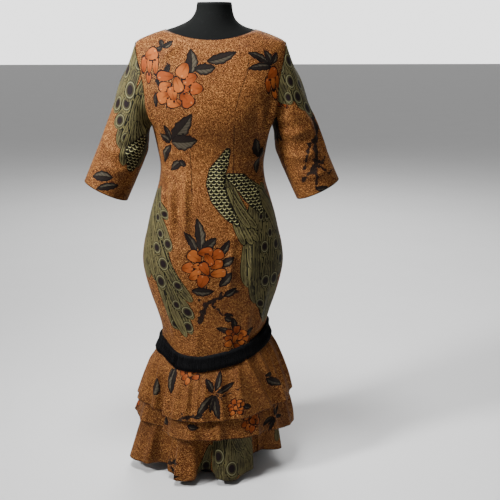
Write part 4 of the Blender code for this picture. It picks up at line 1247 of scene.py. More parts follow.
BACK_FOLDS = (
    (0.0041, 0.012, -0.176, 0.930, -0.120, 0.905, -0.050, 0.900),
    (-0.0022, 0.010, -0.170, 0.956, -0.120, 0.932, -0.050, 0.928),
    (0.0041, 0.013, -0.170, 0.985, -0.110, 0.962, -0.046, 0.958),
    (0.0041, 0.012, 0.176, 0.920, 0.120, 0.896, 0.050, 0.892),
    (-0.0022, 0.010, 0.172, 0.948, 0.120, 0.926, 0.052, 0.922),
    (0.0038, 0.013, 0.168, 0.980, 0.110, 0.958, 0.048, 0.952),
    (0.0095, 0.012, -0.206, 1.150, -0.196, 1.090, -0.188, 1.030),
    (0.0095, 0.012, 0.206, 1.150, 0.196, 1.090, 0.188, 1.030),
    (0.0047, 0.012, -0.170, 1.120, -0.140, 1.060, -0.120, 1.010),
    (0.0047, 0.012, 0.170, 1.120, 0.140, 1.060, 0.120, 1.010),
    (0.0049, 0.013, -0.150, 0.540, -0.140, 0.470, -0.138, 0.400),
    (0.0049, 0.013, 0.140, 0.560, 0.128, 0.480, 0.126, 0.400),
    (-0.0022, 0.010, -0.080, 0.520, -0.078, 0.460, -0.080, 0.400),
    (0.0046, 0.012, 0.060, 0.500, 0.058, 0.450, 0.060, 0.395),
    (0.0041, 0.012, -0.034, 0.480, -0.036, 0.430, -0.032, 0.390),
)
RIGHT_SLEEVE_FOLDS = (
    (-0.0024, 0.009, 0.080, -0.120, 0.062, -0.170, 0.040, -0.210),
    (0.0081, 0.012, 0.096, -0.150, 0.070, -0.200, 0.040, -0.240),
    (0.0074, 0.012, 0.070, -0.060, 0.052, -0.110, 0.020, -0.150),
    (-0.0024, 0.009, 0.060, -0.240, 0.020, -0.270, -0.020, -0.280),
    (0.0068, 0.013, 0.064, -0.262, 0.016, -0.298, -0.040, -0.304),
    (0.0061, 0.013, 0.060, -0.330, 0.010, -0.352, -0.040, -0.350),
    (-0.0024, 0.010, -0.060, -0.300, -0.030, -0.330, 0.010, -0.378),
    (0.0061, 0.014, -0.090, -0.240, -0.060, -0.290, -0.050, -0.350),
    (0.0030, 0.016, 0.160, -0.140, 0.200, -0.190, 0.240, -0.210),
    (0.0030, 0.016, 0.180, -0.230, 0.130, -0.270, 0.090, -0.280),
    (-0.0024, 0.010, 0.170, -0.200, 0.130, -0.240, 0.090, -0.250),
    (0.0061, 0.014, -0.180, -0.240, -0.150, -0.300, -0.140, -0.360),
    (0.0054, 0.014, -0.140, -0.060, -0.120, -0.120, -0.120, -0.180),
)
LEFT_SLEEVE_FOLDS = (
    (0.0088, 0.012, -0.090, -0.130, -0.050, -0.180, -0.010, -0.210),
    (-0.0024, 0.009, -0.070, -0.110, -0.036, -0.150, 0.000, -0.180),
    (0.0074, 0.013, -0.060, -0.210, -0.010, -0.244, 0.040, -0.252),
    (-0.0024, 0.010, -0.050, -0.240, 0.000, -0.270, 0.050, -0.276),
    (0.0068, 0.013, -0.050, -0.290, 0.000, -0.316, 0.050, -0.314),
    (0.0081, 0.012, 0.030, -0.176, 0.050, -0.230, 0.054, -0.290),
    (0.0061, 0.013, 0.100, -0.200, 0.086, -0.270, 0.090, -0.340),
    (-0.0024, 0.010, 0.070, -0.250, 0.066, -0.300, 0.060, -0.350),
    (0.0061, 0.013, -0.040, -0.350, 0.000, -0.376, 0.050, -0.380),
    (0.0030, 0.016, -0.160, -0.140, -0.200, -0.190, -0.240, -0.210),
    (0.0030, 0.016, -0.180, -0.230, -0.130, -0.270, -0.090, -0.280),
    (0.0061, 0.014, 0.180, -0.240, 0.150, -0.300, 0.140, -0.360),
    (0.0054, 0.014, 0.140, -0.060, 0.120, -0.120, 0.120, -0.180),
)
TOP_FOLDS = (
    (0.0165, 0.014, -0.228, -0.030, -0.226, -0.140, -0.222, -0.330),
    (0.0165, 0.014, -0.170, -0.030, -0.166, -0.140, -0.160, -0.330),
    (0.0165, 0.014, 0.102, 0.010, 0.146, -0.105, 0.176, -0.180, 0.190, -0.330),
    (0.0165, 0.014, 0.158, 0.010, 0.202, -0.105, 0.236, -0.180, 0.250, -0.330),
    (0.0136, 0.014, -0.030, -0.040, -0.034, -0.120, -0.036, -0.280),
)
MIDDLE_FOLDS = (
    (-0.0045, 0.010, -0.210, -0.165, -0.212, -0.360),
    (0.0160, 0.013, -0.186, -0.165, -0.186, -0.360),
    (-0.0045, 0.010, -0.042, -0.170, -0.044, -0.360),
    (0.0150, 0.013, -0.014, -0.170, -0.014, -0.360),
)
BOTTOM_FOLDS = (
    (-0.0045, 0.013, -0.056, -0.240, -0.060, -0.500),
)
# A row of gathers: piece, hem length, how many, top, bottom, ridge, trough, narrowest, widest, the steps that
# raise its ridges, and the stretches left clear
GATHERS = (
    ("flounce_top", 1.30, 36, -0.022, -0.29, 0.0080, 0.0042, 0.008, 0.014, (1.6,),
     ((-0.215, -0.165), (0.14, 0.20), (-0.045, -0.02))),
    ("flounce_middle", 1.34, 28, -0.165, -0.37, 0.0075, 0.0040, 0.010, 0.016, (1.6, 1.25),
     ((-0.225, -0.17), (-0.05, 0.0))),
    ("flounce_bottom", 1.50, 28, -0.240, -0.52, 0.0090, 0.0045, 0.011, 0.018, (1.6, 1.25),
     ((-0.07, -0.04),)),
)


def gather_height(draw, number, ridge, trough, raised_by):
    """Height of one gather: a ridge at every second place and at some others, a trough elsewhere."""
    if number % 2 and draw.random() >= 0.25:
        return round(-draw.uniform(0.6, 1.0) * trough, 4)
    height = round(draw.uniform(0.55, 1.0) * ridge, 4)
    for factor in raised_by:
        height = round(min(height * factor, FOLD_LIMIT), 4)
    return height


def lay_gathers():
    """Rows of folds for the gathers of each flounce, to a tenth of a millimetre in height."""
    draw = random.Random(GATHER_SEED)
    laid = {}
    for name, hem, count, top, bottom, ridge, trough, narrow, wide, raised_by, clear in GATHERS:
        step = hem / count
        rows = []
        for number in range(count):
            u = (number + 0.5 + draw.uniform(-0.3, 0.3)) * step - hem / 2
            if any(low < u < high for low, high in clear):
                continue
            height = gather_height(draw, number, ridge, trough, raised_by)
            end_up = bottom * draw.uniform(0.75, 1.15)
            width = draw.uniform(narrow, wide)
            end_across = 1.02 * u + draw.uniform(-0.012, 0.012)
            rows.append((height, round(width, 3), round(u, 3), top, round(end_across, 3), round(end_up, 3)))
        laid[name] = tuple(rows)
    return laid


gathers = lay_gathers()
FOLDS = {
    "dress_front": FRONT_FOLDS,
    "dress_back_left": BACK_FOLDS,
    "dress_back_right": BACK_FOLDS,
    "sleeve_right": RIGHT_SLEEVE_FOLDS,
    "sleeve_left": LEFT_SLEEVE_FOLDS,
    "flounce_top": TOP_FOLDS + gathers["flounce_top"],
    "flounce_middle": MIDDLE_FOLDS + gathers["flounce_middle"],
    "flounce_bottom": BOTTOM_FOLDS + gathers["flounce_bottom"],
}


def fold_height(name, across, up):
    """How far the folds of a piece push each of its corners outwards."""
    points = np.stack((across, up), axis=-1)
    height = np.zeros(len(points))
    for depth, width, *line in FOLDS[name]:
        spots = list(zip(line[0::2], line[1::2]))
        distance, share = line_distance(points, spots)
        along = np.sin(math.pi * np.clip(share, 0.02, 0.98)) ** 0.7
        height += depth * np.exp(-(distance / width) ** 2) * along
    wander = np.sin(31.0 * across + 9.0 * up) * np.sin(17.0 * up - 11.0 * across + 1.3)
    return height + 0.0004 * wander


def finish_sheet(name, points, across, up, hem, closed):
    """Make a cloth piece: place its corners, fold it, print it and give it its thickness."""
    normals = normals_of(points)
    height = fold_height(name, across.ravel(), up.ravel()).reshape(across.shape)
    if closed:
        height[:, -1] = height[:, 0]
        normals[:, 0] = normals[:, -1] = normals[:, 0] + normals[:, -1]
        normals[:, 0] /= np.linalg.norm(normals[:, 0], axis=-1, keepdims=True)
        normals[:, -1] = normals[:, 0]
    placed = points + normals * height[..., None]
    mesh, row, column = grid_mesh(name, placed)
    cloth_map(mesh, across[row, column], up[row, column])
    keep_corners(mesh, "hem", hem[row, column][face_corners(mesh)])
    owners = face_corners(mesh)
    flat = np.stack((across[row, column], up[row, column]), axis=-1)
    for field_name, values in print_fields(name, flat[owners].reshape(-1, 4, 2)).items():
        keep_corners(mesh, field_name, values.ravel())
    if closed:
        close_seam(mesh)
    thing = show(name + "_cloth", mesh, "wax_print_cotton")
    wall = thing.modifiers.new("thickness", "SOLIDIFY")
    wall.thickness = SHEET_THICKNESS
    wall.offset = -1.0
    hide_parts(name)
    length = float(along_columns(placed)[-1].max())
    print(name, "lies within", round(float(np.abs(height).max()) * 1000, 1), "mm of its surface")


print("folds on all pieces:", sum(len(rows) for rows in FOLDS.values()))


# %% [markdown]
# The front is one panel from the neck to the knee seam, wide enough to wrap to both sides, with the bust
# shaped by darts. It could be a flat net bent by a simulation, but a grid that follows the body's cross
# sections gives the same fitted form with nothing to settle, and its columns double as the threads that
# the print runs along.
# %% The front
FRONT_COLUMNS = 136
levels = panel_levels()
edge = 90.0 - side_gap_angle(levels) - FRONT_ARMHOLE_TURN * armhole_share(levels)


def panel_curve(angles):
    return body_point(angles, skirt_level(angles, levels[:, None]))


def make_panel(name, first, last, columns, anchor):
    angles, across = even_angles(panel_curve, first, last, columns, anchor)
    points = panel_curve(angles)
    from_neck = along_columns(points[::-1])[::-1]
    finish_sheet(name, points, across, points[..., 2], from_neck, False)


make_panel("dress_front", -edge, edge, FRONT_COLUMNS, 0.0)

# %% [markdown]
# The back is cut in two, left and right, so that the zip can run down the middle from the neck. Both
# halves use the front's grid on the other half of each cross section, so the side seams meet with an even
# gap.
# %% The backs
BACK_COLUMNS = 68
near = 90.0 + side_gap_angle(levels) + BACK_ARMHOLE_TURN * armhole_share(levels)
far = 180.0 - zip_gap_angle(levels)

make_panel("dress_back_left", near, far, BACK_COLUMNS, 180.0)
make_panel("dress_back_right", 360.0 - far, 360.0 - near, BACK_COLUMNS, 180.0)

# %% [markdown]
# Each sleeve is a tube that starts on the armhole's edge and narrows to the elbow, hanging a little away
# from the body. Eight cross sections are joined by smooth curves, because a straight cone would miss the
# fuller top and the slight bend that the real sleeve shows. The cuff is left open.
# %% The sleeves
# A cross section's row: outer x, outer z, inner x, inner z, front, back
SLEEVE = (
    (0.2290, 1.233, 0.1800, 1.028, 0.074, 0.068),
    (0.2450, 1.195, 0.1815, 1.005, 0.078, 0.072),
    (0.2610, 1.155, 0.1855, 0.984, 0.078, 0.071),
    (0.2815, 1.105, 0.1925, 0.960, 0.075, 0.067),
    (0.3025, 1.053, 0.2020, 0.935, 0.072, 0.062),
    (0.3210, 1.007, 0.2130, 0.911, 0.070, 0.057),
    (0.3460, 0.950, 0.2295, 0.874, 0.069, 0.052),
    (0.3720, 0.891, 0.2490, 0.832, 0.068, 0.048),
)
SLEEVE_HEAD_GAP = 0.0005
SLEEVE_COLUMNS = 128
SLEEVE_STEPS = 11


def armhole_point(turn):
    """Points of the armhole on the +X side: turn 0 is the shoulder tip, 90 the back, 180 the armpit."""
    middle = (ARMPIT_LEVEL + SHOULDER_TIP_LEVEL) / 2
    reach = (SHOULDER_TIP_LEVEL - ARMPIT_LEVEL) / 2
    swing = np.sin(np.radians(turn))
    level = middle + reach * np.cos(np.radians(turn))
    angle = 90.0 + np.where(swing > 0, BACK_ARMHOLE_TURN, FRONT_ARMHOLE_TURN) * swing
    points = body_point(angle, level)
    points[..., 0] += SLEEVE_HEAD_GAP + (CLOTH + SEAM_GAP) * np.abs(np.cos(np.radians(turn)))
    return points


def sleeve_ring(turn, row):
    """Points of one cross section on the +X side, turned from its outer edge over the back."""
    outer_x, outer_z, inner_x, inner_z, front, back = row
    outer = np.array((outer_x, 0.0, outer_z))
    inner = np.array((inner_x, 0.0, inner_z))
    middle = (outer + inner) / 2
    swing = np.sin(np.radians(turn))
    depth = np.where(swing > 0, back, front) * swing
    points = middle + np.cos(np.radians(turn))[..., None] * (outer - middle)
    points[..., 1] += depth
    return points


def make_sleeve(name, side):
    turns = 180.0 + side * np.linspace(0.0, 360.0, SLEEVE_COLUMNS + 1)
    rings = np.stack([armhole_point(turns)] + [sleeve_ring(turns, row) for row in SLEEVE])
    slopes = np.gradient(rings, axis=0)
    rows = []
    for index in range(len(rings) - 1):
        for t in np.arange(SLEEVE_STEPS) / SLEEVE_STEPS:
            near_part = (1 + 2 * t) * (1 - t) ** 2 * rings[index] + t * (1 - t) ** 2 * slopes[index]
            far_part = t * t * (3 - 2 * t) * rings[index + 1] - t * t * (1 - t) * slopes[index + 1]
            rows.append(near_part + far_part)
    rows.append(rings[-1])
    points = np.stack(rows[::-1])
    points[..., 0] *= side
    down = np.array((SLEEVE[-1][0] - SLEEVE[0][0], 0.0, SLEEVE[-1][1] - SLEEVE[0][1]))
    down[0] *= side
    down /= np.linalg.norm(down)
    up = -((points - points[-1, SLEEVE_COLUMNS // 2]) @ down)
    level_points = points - (points @ down)[..., None] * down
    around = along_rows(level_points)
    front_column = SLEEVE_COLUMNS // 4 if side > 0 else 3 * SLEEVE_COLUMNS // 4
    around = around - around[:, front_column:front_column + 1]
    from_cuff = along_columns(points)
    finish_sheet(name, points, around, up, from_cuff, True)


make_sleeve("sleeve_left", 1)
make_sleeve("sleeve_right", -1)

# %% [markdown]
# Three flounces are sewn into the knee seam one over the other, each longer than the one above it. Every
# hem is cut longer than the seam, so it falls in broad waves. A table gives each wave's reach and each
# hem's height by angle. An upper flounce is pushed out to lie on the one under it, as the real layers rest
# on each other.
# %% The flounces
FLOUNCE_COLUMNS = ("angle", "reach", "hem")
FLOUNCE_TOP = (
    (-112.0, 0.052, 0.222),
    (-90.0, 0.063, 0.229),
    (-70.0, 0.069, 0.222),
    (-54.0, 0.026, 0.206),
    (-38.0, 0.058, 0.206),
    (-15.0, 0.063, 0.208),
    (8.0, 0.058, 0.211),
    (28.0, 0.064, 0.214),
    (50.0, 0.052, 0.219),
    (70.0, 0.074, 0.226),
    (90.0, 0.072, 0.232),
    (112.0, 0.048, 0.230),
    (134.0, 0.067, 0.225),
    (157.0, 0.047, 0.220),
    (180.0, 0.065, 0.218),
    (203.0, 0.048, 0.216),
    (226.0, 0.066, 0.216),
)
FLOUNCE_MIDDLE = (
    (-112.0, 0.058, 0.160),
    (-90.0, 0.082, 0.171),
    (-70.0, 0.076, 0.162),
    (-54.0, 0.030, 0.150),
    (-36.0, 0.070, 0.149),
    (-14.0, 0.066, 0.149),
    (6.0, 0.058, 0.150),
    (26.0, 0.068, 0.150),
    (48.0, 0.058, 0.146),
    (68.0, 0.080, 0.136),
    (90.0, 0.088, 0.126),
    (114.0, 0.056, 0.134),
    (137.0, 0.077, 0.142),
    (160.0, 0.054, 0.147),
    (183.0, 0.074, 0.150),
    (206.0, 0.054, 0.152),
    (228.0, 0.076, 0.153),
)
FLOUNCE_BOTTOM = (
    (-95.0, 0.070, 0.034),
    (-76.0, 0.118, 0.034),
    (-50.0, 0.034, 0.030),
    (-25.0, 0.080, 0.018),
    (-9.0, 0.020, 0.032),
    (10.0, 0.072, 0.018),
    (32.0, 0.036, 0.024),
    (58.0, -0.012, 0.048),
    (80.0, 0.058, 0.038),
    (103.0, 0.018, 0.036),
    (126.0, 0.078, 0.026),
    (147.0, 0.026, 0.028),
    (168.0, 0.082, 0.020),
    (190.0, 0.026, 0.026),
    (211.0, 0.080, 0.020),
    (231.0, 0.028, 0.026),
    (249.0, 0.082, 0.020),
)
LAYER_PITCH = CLOTH + SEAM_GAP
# A layer: name, table, inset at the seam, flare, columns, rows
LAYERS = (
    ("flounce_top", FLOUNCE_TOP, 0.0, 0.85, 300, 44),
    ("flounce_middle", FLOUNCE_MIDDLE, LAYER_PITCH, 0.95, 308, 60),
    ("flounce_bottom", FLOUNCE_BOTTOM, 2 * LAYER_PITCH, 1.0, 344, 86),
)
LAYER_SPREAD = 0.007
LAYER_SPREAD_FALL = 0.060


def flounce_out(layer, angle, fall):
    """How far a flounce stands out from its own sewn edge after falling this far below the seam."""
    _, table, _, flare, _, _ = LAYERS[layer]
    length = seam_level(angle) - read_ring(table, FLOUNCE_COLUMNS, "hem", angle)
    own = read_ring(table, FLOUNCE_COLUMNS, "reach", angle) * (np.maximum(fall, 0.0) / length) ** flare
    if layer == len(LAYERS) - 1:
        return own
    spread = LAYER_SPREAD * np.minimum(fall / LAYER_SPREAD_FALL, 1.0)
    under = flounce_out(layer + 1, angle, fall) + spread
    return (own + under + np.hypot(own - under, spread)) / 2


def flounce_point(layer, angle, fall, extra=0.0):
    """Points of a flounce, this far below its seam and a little further out where wished."""
    inset = LAYERS[layer][2]
    seam = seam_level(angle)
    out = flounce_out(layer, angle, fall) - inset + extra
    points = body_point(angle, seam) + body_outward(angle, seam) * out[..., None]
    points[..., 2] -= fall + KNEE_SEAM_GAP
    return points


def make_flounce(layer):
    name, table, _, _, columns, rows = LAYERS[layer]
    shares = np.linspace(0.0, 1.0, rows + 1)[:, None]

    def whole_fall(angles):
        return seam_level(angles) - read_ring(table, FLOUNCE_COLUMNS, "hem", angles)

    def hem_curve(angles):
        return flounce_point(layer, angles, whole_fall(angles))

    angles, across = even_angles(hem_curve, np.array([-180.0]), np.array([180.0]), columns, 0.0)
    fall = (1 - shares) * whole_fall(angles)
    points = flounce_point(layer, np.broadcast_to(angles, fall.shape), fall)
    points[:, -1] = points[:, 0]
    from_hem = along_columns(points)
    drop = from_hem[-1:] - from_hem
    across = np.repeat(across, rows + 1, axis=0)
    finish_sheet(name, points, across, -drop, from_hem, True)


for layer in range(len(LAYERS)):
    make_flounce(layer)

# %% [markdown]
# The trim at the knee is a brush fringe: a narrow woven heading with short cut yarns packed side by side.
# Each yarn is a thin ribbon, a little uneven in length and lean, in five layers one over the other. One
# long grid with every second column taken out gives a whole layer of ribbons at once, where separate
# objects would be slow. Strands of hair would not export, so the yarns are real faces.
# %% Brush fringe
FRINGE_STRIP_HEIGHT = 0.012
FRINGE_HEIGHT = 0.043
FRINGE_LAYERS = 5
YARNS = 640
YARN_ROWS = 4
YARN_SEED = 7
YARN_SHORTER = 0.004
YARN_LEAN = 0.45
FRINGE_LIFT = 0.0042
LAYER_LIFT = 0.0007
LAYER_DROP = 0.0016
YARN_THICKNESS = 0.0005
HEADING_COLUMNS = 300
HEADING_ROWS = 4
HEADING_THICKNESS = 0.0006


def fringe_surface(angle, below_top, out):
    """Points that far outside the skirt and the top flounce, below the fringe's top edge."""
    level = read_ring(FRINGE_TOP, FRINGE_COLUMNS, "top", angle) - below_top
    seam = seam_level(angle)
    above = body_point(angle, np.maximum(level, seam)) + body_outward(angle, seam) * out[..., None]
    below = flounce_point(0, angle, np.maximum(seam - level, 0.0), out)
    return np.where((level > seam)[..., None], above, below)


def fringe_layer(layer, draw):
    """One layer of yarns, as the points of a grid: two columns to a yarn."""
    middle = (np.arange(YARNS) + draw.uniform(0.2, 0.8, YARNS)) * 360.0 / YARNS - 180.0
    length = FRINGE_HEIGHT - YARN_SHORTER * draw.random(YARNS) ** 2 - 0.0008 * layer
    lean = draw.normal(0.0, YARN_LEAN, YARNS)
    lift = FRINGE_LIFT + LAYER_LIFT * layer + 0.0010 * draw.random(YARNS)
    twist = draw.normal(0.0, 0.0005, YARNS)
    root = 0.0004 + LAYER_DROP * (FRINGE_LAYERS - 1 - layer)
    share = np.linspace(1.0, 0.0, YARN_ROWS + 1)[:, None]
    half = 0.26 - 0.06 * share
    below_top = root + (length - root) * share
    bulge = 0.0016 * np.sin(math.pi * share) + 0.0014 * share ** 2
    left = fringe_surface(middle - half + lean * share, below_top, lift - twist + bulge)
    right = fringe_surface(middle + half + lean * share, below_top, lift + twist + bulge)
    return np.stack((left, right), axis=2).reshape(YARN_ROWS + 1, 2 * YARNS, 3)


def make_fringe():
    draw = np.random.default_rng(YARN_SEED)
    bm = bmesh.new()
    for layer in range(FRINGE_LAYERS):
        mesh, _, column = grid_mesh("fringe_layer", fringe_layer(layer, draw))
        part = bmesh.new()
        part.from_mesh(mesh)
        part.verts.ensure_lookup_table()
        gaps = [face for face in part.faces if min(column[vert.index] for vert in face.verts) % 2]
        bmesh.ops.delete(part, geom=gaps, context="FACES")
        part.to_mesh(mesh)
        part.free()
        bm.from_mesh(mesh)
        bpy.data.meshes.remove(mesh)
    mesh = bpy.data.meshes.new("brush_fringe")
    bm.to_mesh(mesh)
    bm.free()
    fringe = show("brush_fringe", mesh, "fringe_yarn")
    wall = fringe.modifiers.new("thickness", "SOLIDIFY")
    wall.thickness = YARN_THICKNESS
    wall.offset = 0.0
    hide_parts("knee_fringe")


def make_heading():
    """Woven band that holds the yarns, sewn over the knee seam."""
    angles = np.linspace(-180.0, 180.0, HEADING_COLUMNS + 1)
    share = np.linspace(1.0, 0.0, HEADING_ROWS + 1)[:, None]
    swell = 0.0008 + 0.0024 * np.sin(math.pi * np.clip(share, 0.04, 0.96)) ** 0.6
    points = fringe_surface(*np.broadcast_arrays(angles, share * FRINGE_STRIP_HEIGHT, swell))
    points[:, -1] = points[:, 0]
    mesh, _, _ = grid_mesh("fringe_heading", points)
    close_seam(mesh)
    heading = show("fringe_heading", mesh, "fringe_yarn")
    wall = heading.modifiers.new("thickness", "SOLIDIFY")
    wall.thickness = HEADING_THICKNESS
    wall.offset = -1.0


# %% [markdown]
# The yarn is matt and nearly black. Fine streaks of two near tones keep the ribbons apart from each other,
# where one flat black would turn the fringe into a hole in the picture.
# %% Fringe yarn
YARN_DARK = (0.0008, 0.0008, 0.0010)
YARN_PALE = (0.0060, 0.0060, 0.0070)


def make_yarn_material():
    _, tree, shader = new_material("fringe_yarn")
    place = object_place(tree)
    streak = noise(tree, place, 420.0, 2.0)
    tone = blend_ink(tree, ramp(tree, streak, 0.35, 0.75), YARN_DARK, YARN_PALE)
    tree.links.new(tone, shader.inputs["Base Color"])
    shader.inputs["Roughness"].default_value = 0.62
    shader.inputs["Specular IOR Level"].default_value = 0.08
    bump(tree, shader, streak, 0.3, 0.0004)


make_yarn_material()
make_fringe()
make_heading()

# %% [markdown]
# The dress form is a smooth body covered in black jersey, with a flat cap on its neck. It is built from the
# same cross sections as the cloth, a little inside it, so it never shows through. The cap, the pole and the
# round base are turned shapes: a short outline spun once about an upright axis.
# %% Dress form
FORM_BOTTOM = 0.60
FORM_ROWS = 189
FORM_COLUMNS = 144
JERSEY_DARK = (0.0025, 0.0029, 0.0028)
JERSEY_PALE = (0.0055, 0.0060, 0.0058)
LINT = (0.0090, 0.0095, 0.0093)
FORM_INSET = ((0.60, 0.0045), (1.25, 0.0045), (1.284, 0.0018), (1.317, 0.0018), (1.325, 0.0), (1.3857, 0.0))
FORM_DROP = ((0.60, 0.0), (1.25, 0.0), (1.284, 0.0018), (1.317, 0.0018), (1.325, 0.0), (1.3857, 0.0))


def make_jersey():
    _, tree, shader = new_material("black_jersey")
    place = object_place(tree)
    stretch = tree.nodes.new("ShaderNodeMapping")
    stretch.inputs["Scale"].default_value = (1.0, 1.0, 0.45)
    tree.links.new(place, stretch.inputs["Vector"])
    knit = noise(tree, stretch.outputs[0], 900.0, 2.0)
    lint = noise(tree, place, 60.0, 4.0)
    tone = blend_ink(tree, ramp(tree, knit, 0.3, 0.8), JERSEY_DARK, JERSEY_PALE)
    tone = blend_ink(tree, ramp(tree, lint, 0.62, 0.75, 0.0, 0.5), tone, LINT)
    tree.links.new(tone, shader.inputs["Base Color"])
    shader.inputs["Roughness"].default_value = 0.9
    shader.inputs["Specular IOR Level"].default_value = 0.08
    bump(tree, shader, knit, 0.3, 0.0004)


def make_form():
    levels = np.linspace(FORM_BOTTOM, FORM_TOP_LEVEL, FORM_ROWS + 1)[:, None]
    angles = np.linspace(-180.0, 180.0, FORM_COLUMNS + 1)
    inset = np.interp(levels, *zip(*FORM_INSET))
    points = body_point(angles, levels, inset)
    points[..., 2] -= np.interp(levels, *zip(*FORM_DROP))
    points[:, -1] = points[:, 0]
    mesh, _, _ = grid_mesh("form_skin", points)
    bm = bmesh.new()
    bm.from_mesh(mesh)
    bmesh.ops.remove_doubles(bm, verts=bm.verts, dist=MERGE_DISTANCE)
    bmesh.ops.holes_fill(bm, edges=[edge for edge in bm.edges if edge.is_boundary], sides=0)
    bm.to_mesh(mesh)
    bm.free()
    form = show("form_skin", mesh, "black_jersey")
    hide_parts("form_body")


make_jersey()
make_form()

# %% [markdown]
# The neck cap, the pole and the base are round, as if made on a lathe. Their edges are rounded a little,
# because a sharp edge catches no light. The cap and base are smooth black plastic and the pole is steel.
# %% Turned pieces
NECK_MIDDLE = 0.011
TURN_STEPS = 96
SHARP_ANGLE = 35.0
ROUNDING = 0.0006
# Each outline: radius and height of its spots
NECK_CAP = ((0.0, 1.390), (0.047, 1.390), (0.0485, 1.3885), (0.0485, 1.386), (0.0, 1.386))
POLE = ((0.0, 0.5997), (0.040, 0.5997), (0.040, 0.5917), (0.0125, 0.5917), (0.0125, 0.0343), (0.0, 0.0343))
BASE = (
    (0.0, 0.034), (0.020, 0.034), (0.020, 0.014), (0.107, 0.014), (0.110, 0.011), (0.110, 0.0), (0.0, 0.0),
)


def turned_piece(name, outline, middle_x, material_name, node):
    """Spin an outline of (radius, height) spots about an upright axis and round its edges."""
    bm = bmesh.new()
    verts = [bm.verts.new((middle_x + radius, 0.0, height)) for radius, height in outline]
    edges = [bm.edges.new(pair) for pair in zip(verts, verts[1:])]
    bmesh.ops.spin(bm, geom=verts + edges, cent=(middle_x, 0.0, 0.0), axis=(0, 0, 1), angle=math.tau,
                   steps=TURN_STEPS, use_merge=True)
    bmesh.ops.remove_doubles(bm, verts=bm.verts, dist=MERGE_DISTANCE)
    bmesh.ops.recalc_face_normals(bm, faces=bm.faces)
    limit = math.radians(SHARP_ANGLE)
    sharp = [edge for edge in bm.edges if edge.is_manifold and edge.calc_face_angle() > limit]
    bmesh.ops.bevel(bm, geom=sharp, offset=ROUNDING, segments=3, profile=0.5, affect="EDGES", material=-1)
    mesh = bpy.data.meshes.new(name)
    bm.to_mesh(mesh)
    bm.free()
    thing = show(name, mesh, material_name)
    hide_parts(node)


def make_cap_board():
    _, tree, shader = new_material("cap_board")
    place = object_place(tree)
    grain = noise(tree, place, 300.0, 3.0)
    tone = blend_ink(tree, grain, (0.005, 0.005, 0.0055), (0.013, 0.013, 0.0135))
    tree.links.new(tone, shader.inputs["Base Color"])
    shader.inputs["Roughness"].default_value = 0.6
    shader.inputs["Specular IOR Level"].default_value = 0.25
    bump(tree, shader, grain, 0.2, 0.0003)


def make_enamel():
    _, tree, shader = new_material("black_enamel")
    place = object_place(tree)
    peel = noise(tree, place, 240.0, 2.0)
    wear = noise(tree, place, 14.0, 5.0)
    tone = blend_ink(tree, ramp(tree, wear, 0.60, 0.72), (0.008, 0.008, 0.009), (0.040, 0.038, 0.036))
    tree.links.new(tone, shader.inputs["Base Color"])
    tree.links.new(ramp(tree, wear, 0.3, 0.8, 0.28, 0.55), shader.inputs["Roughness"])
    bump(tree, shader, peel, 0.15, 0.0003)


def make_steel():
    _, tree, shader = new_material("brushed_steel")
    place = object_place(tree)
    stretch = tree.nodes.new("ShaderNodeMapping")
    stretch.inputs["Scale"].default_value = (1.0, 1.0, 30.0)
    tree.links.new(place, stretch.inputs["Vector"])
    brush = noise(tree, stretch.outputs[0], 60.0, 4.0)
    tone = blend_ink(tree, brush, (0.20, 0.20, 0.21), (0.34, 0.34, 0.35))
    tree.links.new(tone, shader.inputs["Base Color"])
    shader.inputs["Metallic"].default_value = 1.0
    tree.links.new(ramp(tree, brush, 0.2, 0.8, 0.25, 0.42), shader.inputs["Roughness"])


def make_brass():
    _, tree, shader = new_material("aged_brass")
    place = object_place(tree)
    tarnish = noise(tree, place, 500.0, 4.0)
    tone = blend_ink(tree, ramp(tree, tarnish, 0.4, 0.7), (0.30, 0.19, 0.07), (0.58, 0.42, 0.17))
    tree.links.new(tone, shader.inputs["Base Color"])
    shader.inputs["Metallic"].default_value = 1.0
    tree.links.new(ramp(tree, tarnish, 0.3, 0.8, 0.45, 0.25), shader.inputs["Roughness"])


def make_tape_weave():
    _, tree, shader = new_material("zip_tape_weave")
    place = object_place(tree)
    weave = noise(tree, place, 1400.0, 1.0)
    tone = blend_ink(tree, weave, (0.060, 0.020, 0.008), (0.130, 0.046, 0.017))
    tree.links.new(tone, shader.inputs["Base Color"])
    shader.inputs["Roughness"].default_value = 0.8
    bump(tree, shader, weave, 0.4, 0.0003)


for make in (make_cap_board, make_enamel, make_steel, make_brass, make_tape_weave):
    make()
turned_piece("neck_cap", NECK_CAP, NECK_MIDDLE, "cap_board", "form_neck_plate")
turned_piece("pole_and_flange", POLE, 0.0, "brushed_steel", "stand_pole")
turned_piece("round_base", BASE, 0.0, "black_enamel", "stand_base")

# %% [markdown]
# A zip closes the back. Its tape lies in the gap between the two halves, and two rows of small teeth mesh
# down the middle. Each tooth is one cube from an operator, shrunk and set on the slope of the back, since
# there are hundreds of them and each is about a millimetre across. The slider and its pull are the solids
# themselves, in aged brass.
# %% Zip
ZIP_CHAIN_WIDTH = 0.0054
TOOTH_PITCH = 0.0014
TOOTH_SIZE = (0.0024, 0.0010, 0.0010)
TOOTH_OFFSET = 0.0006
TAPE_ROWS = 129
TAPE_COLUMNS = 4
TAPE_THICKNESS = 0.0008
TAPE_SINK = 0.0004


def back_spine(levels):
    return body_point(180.0, levels)


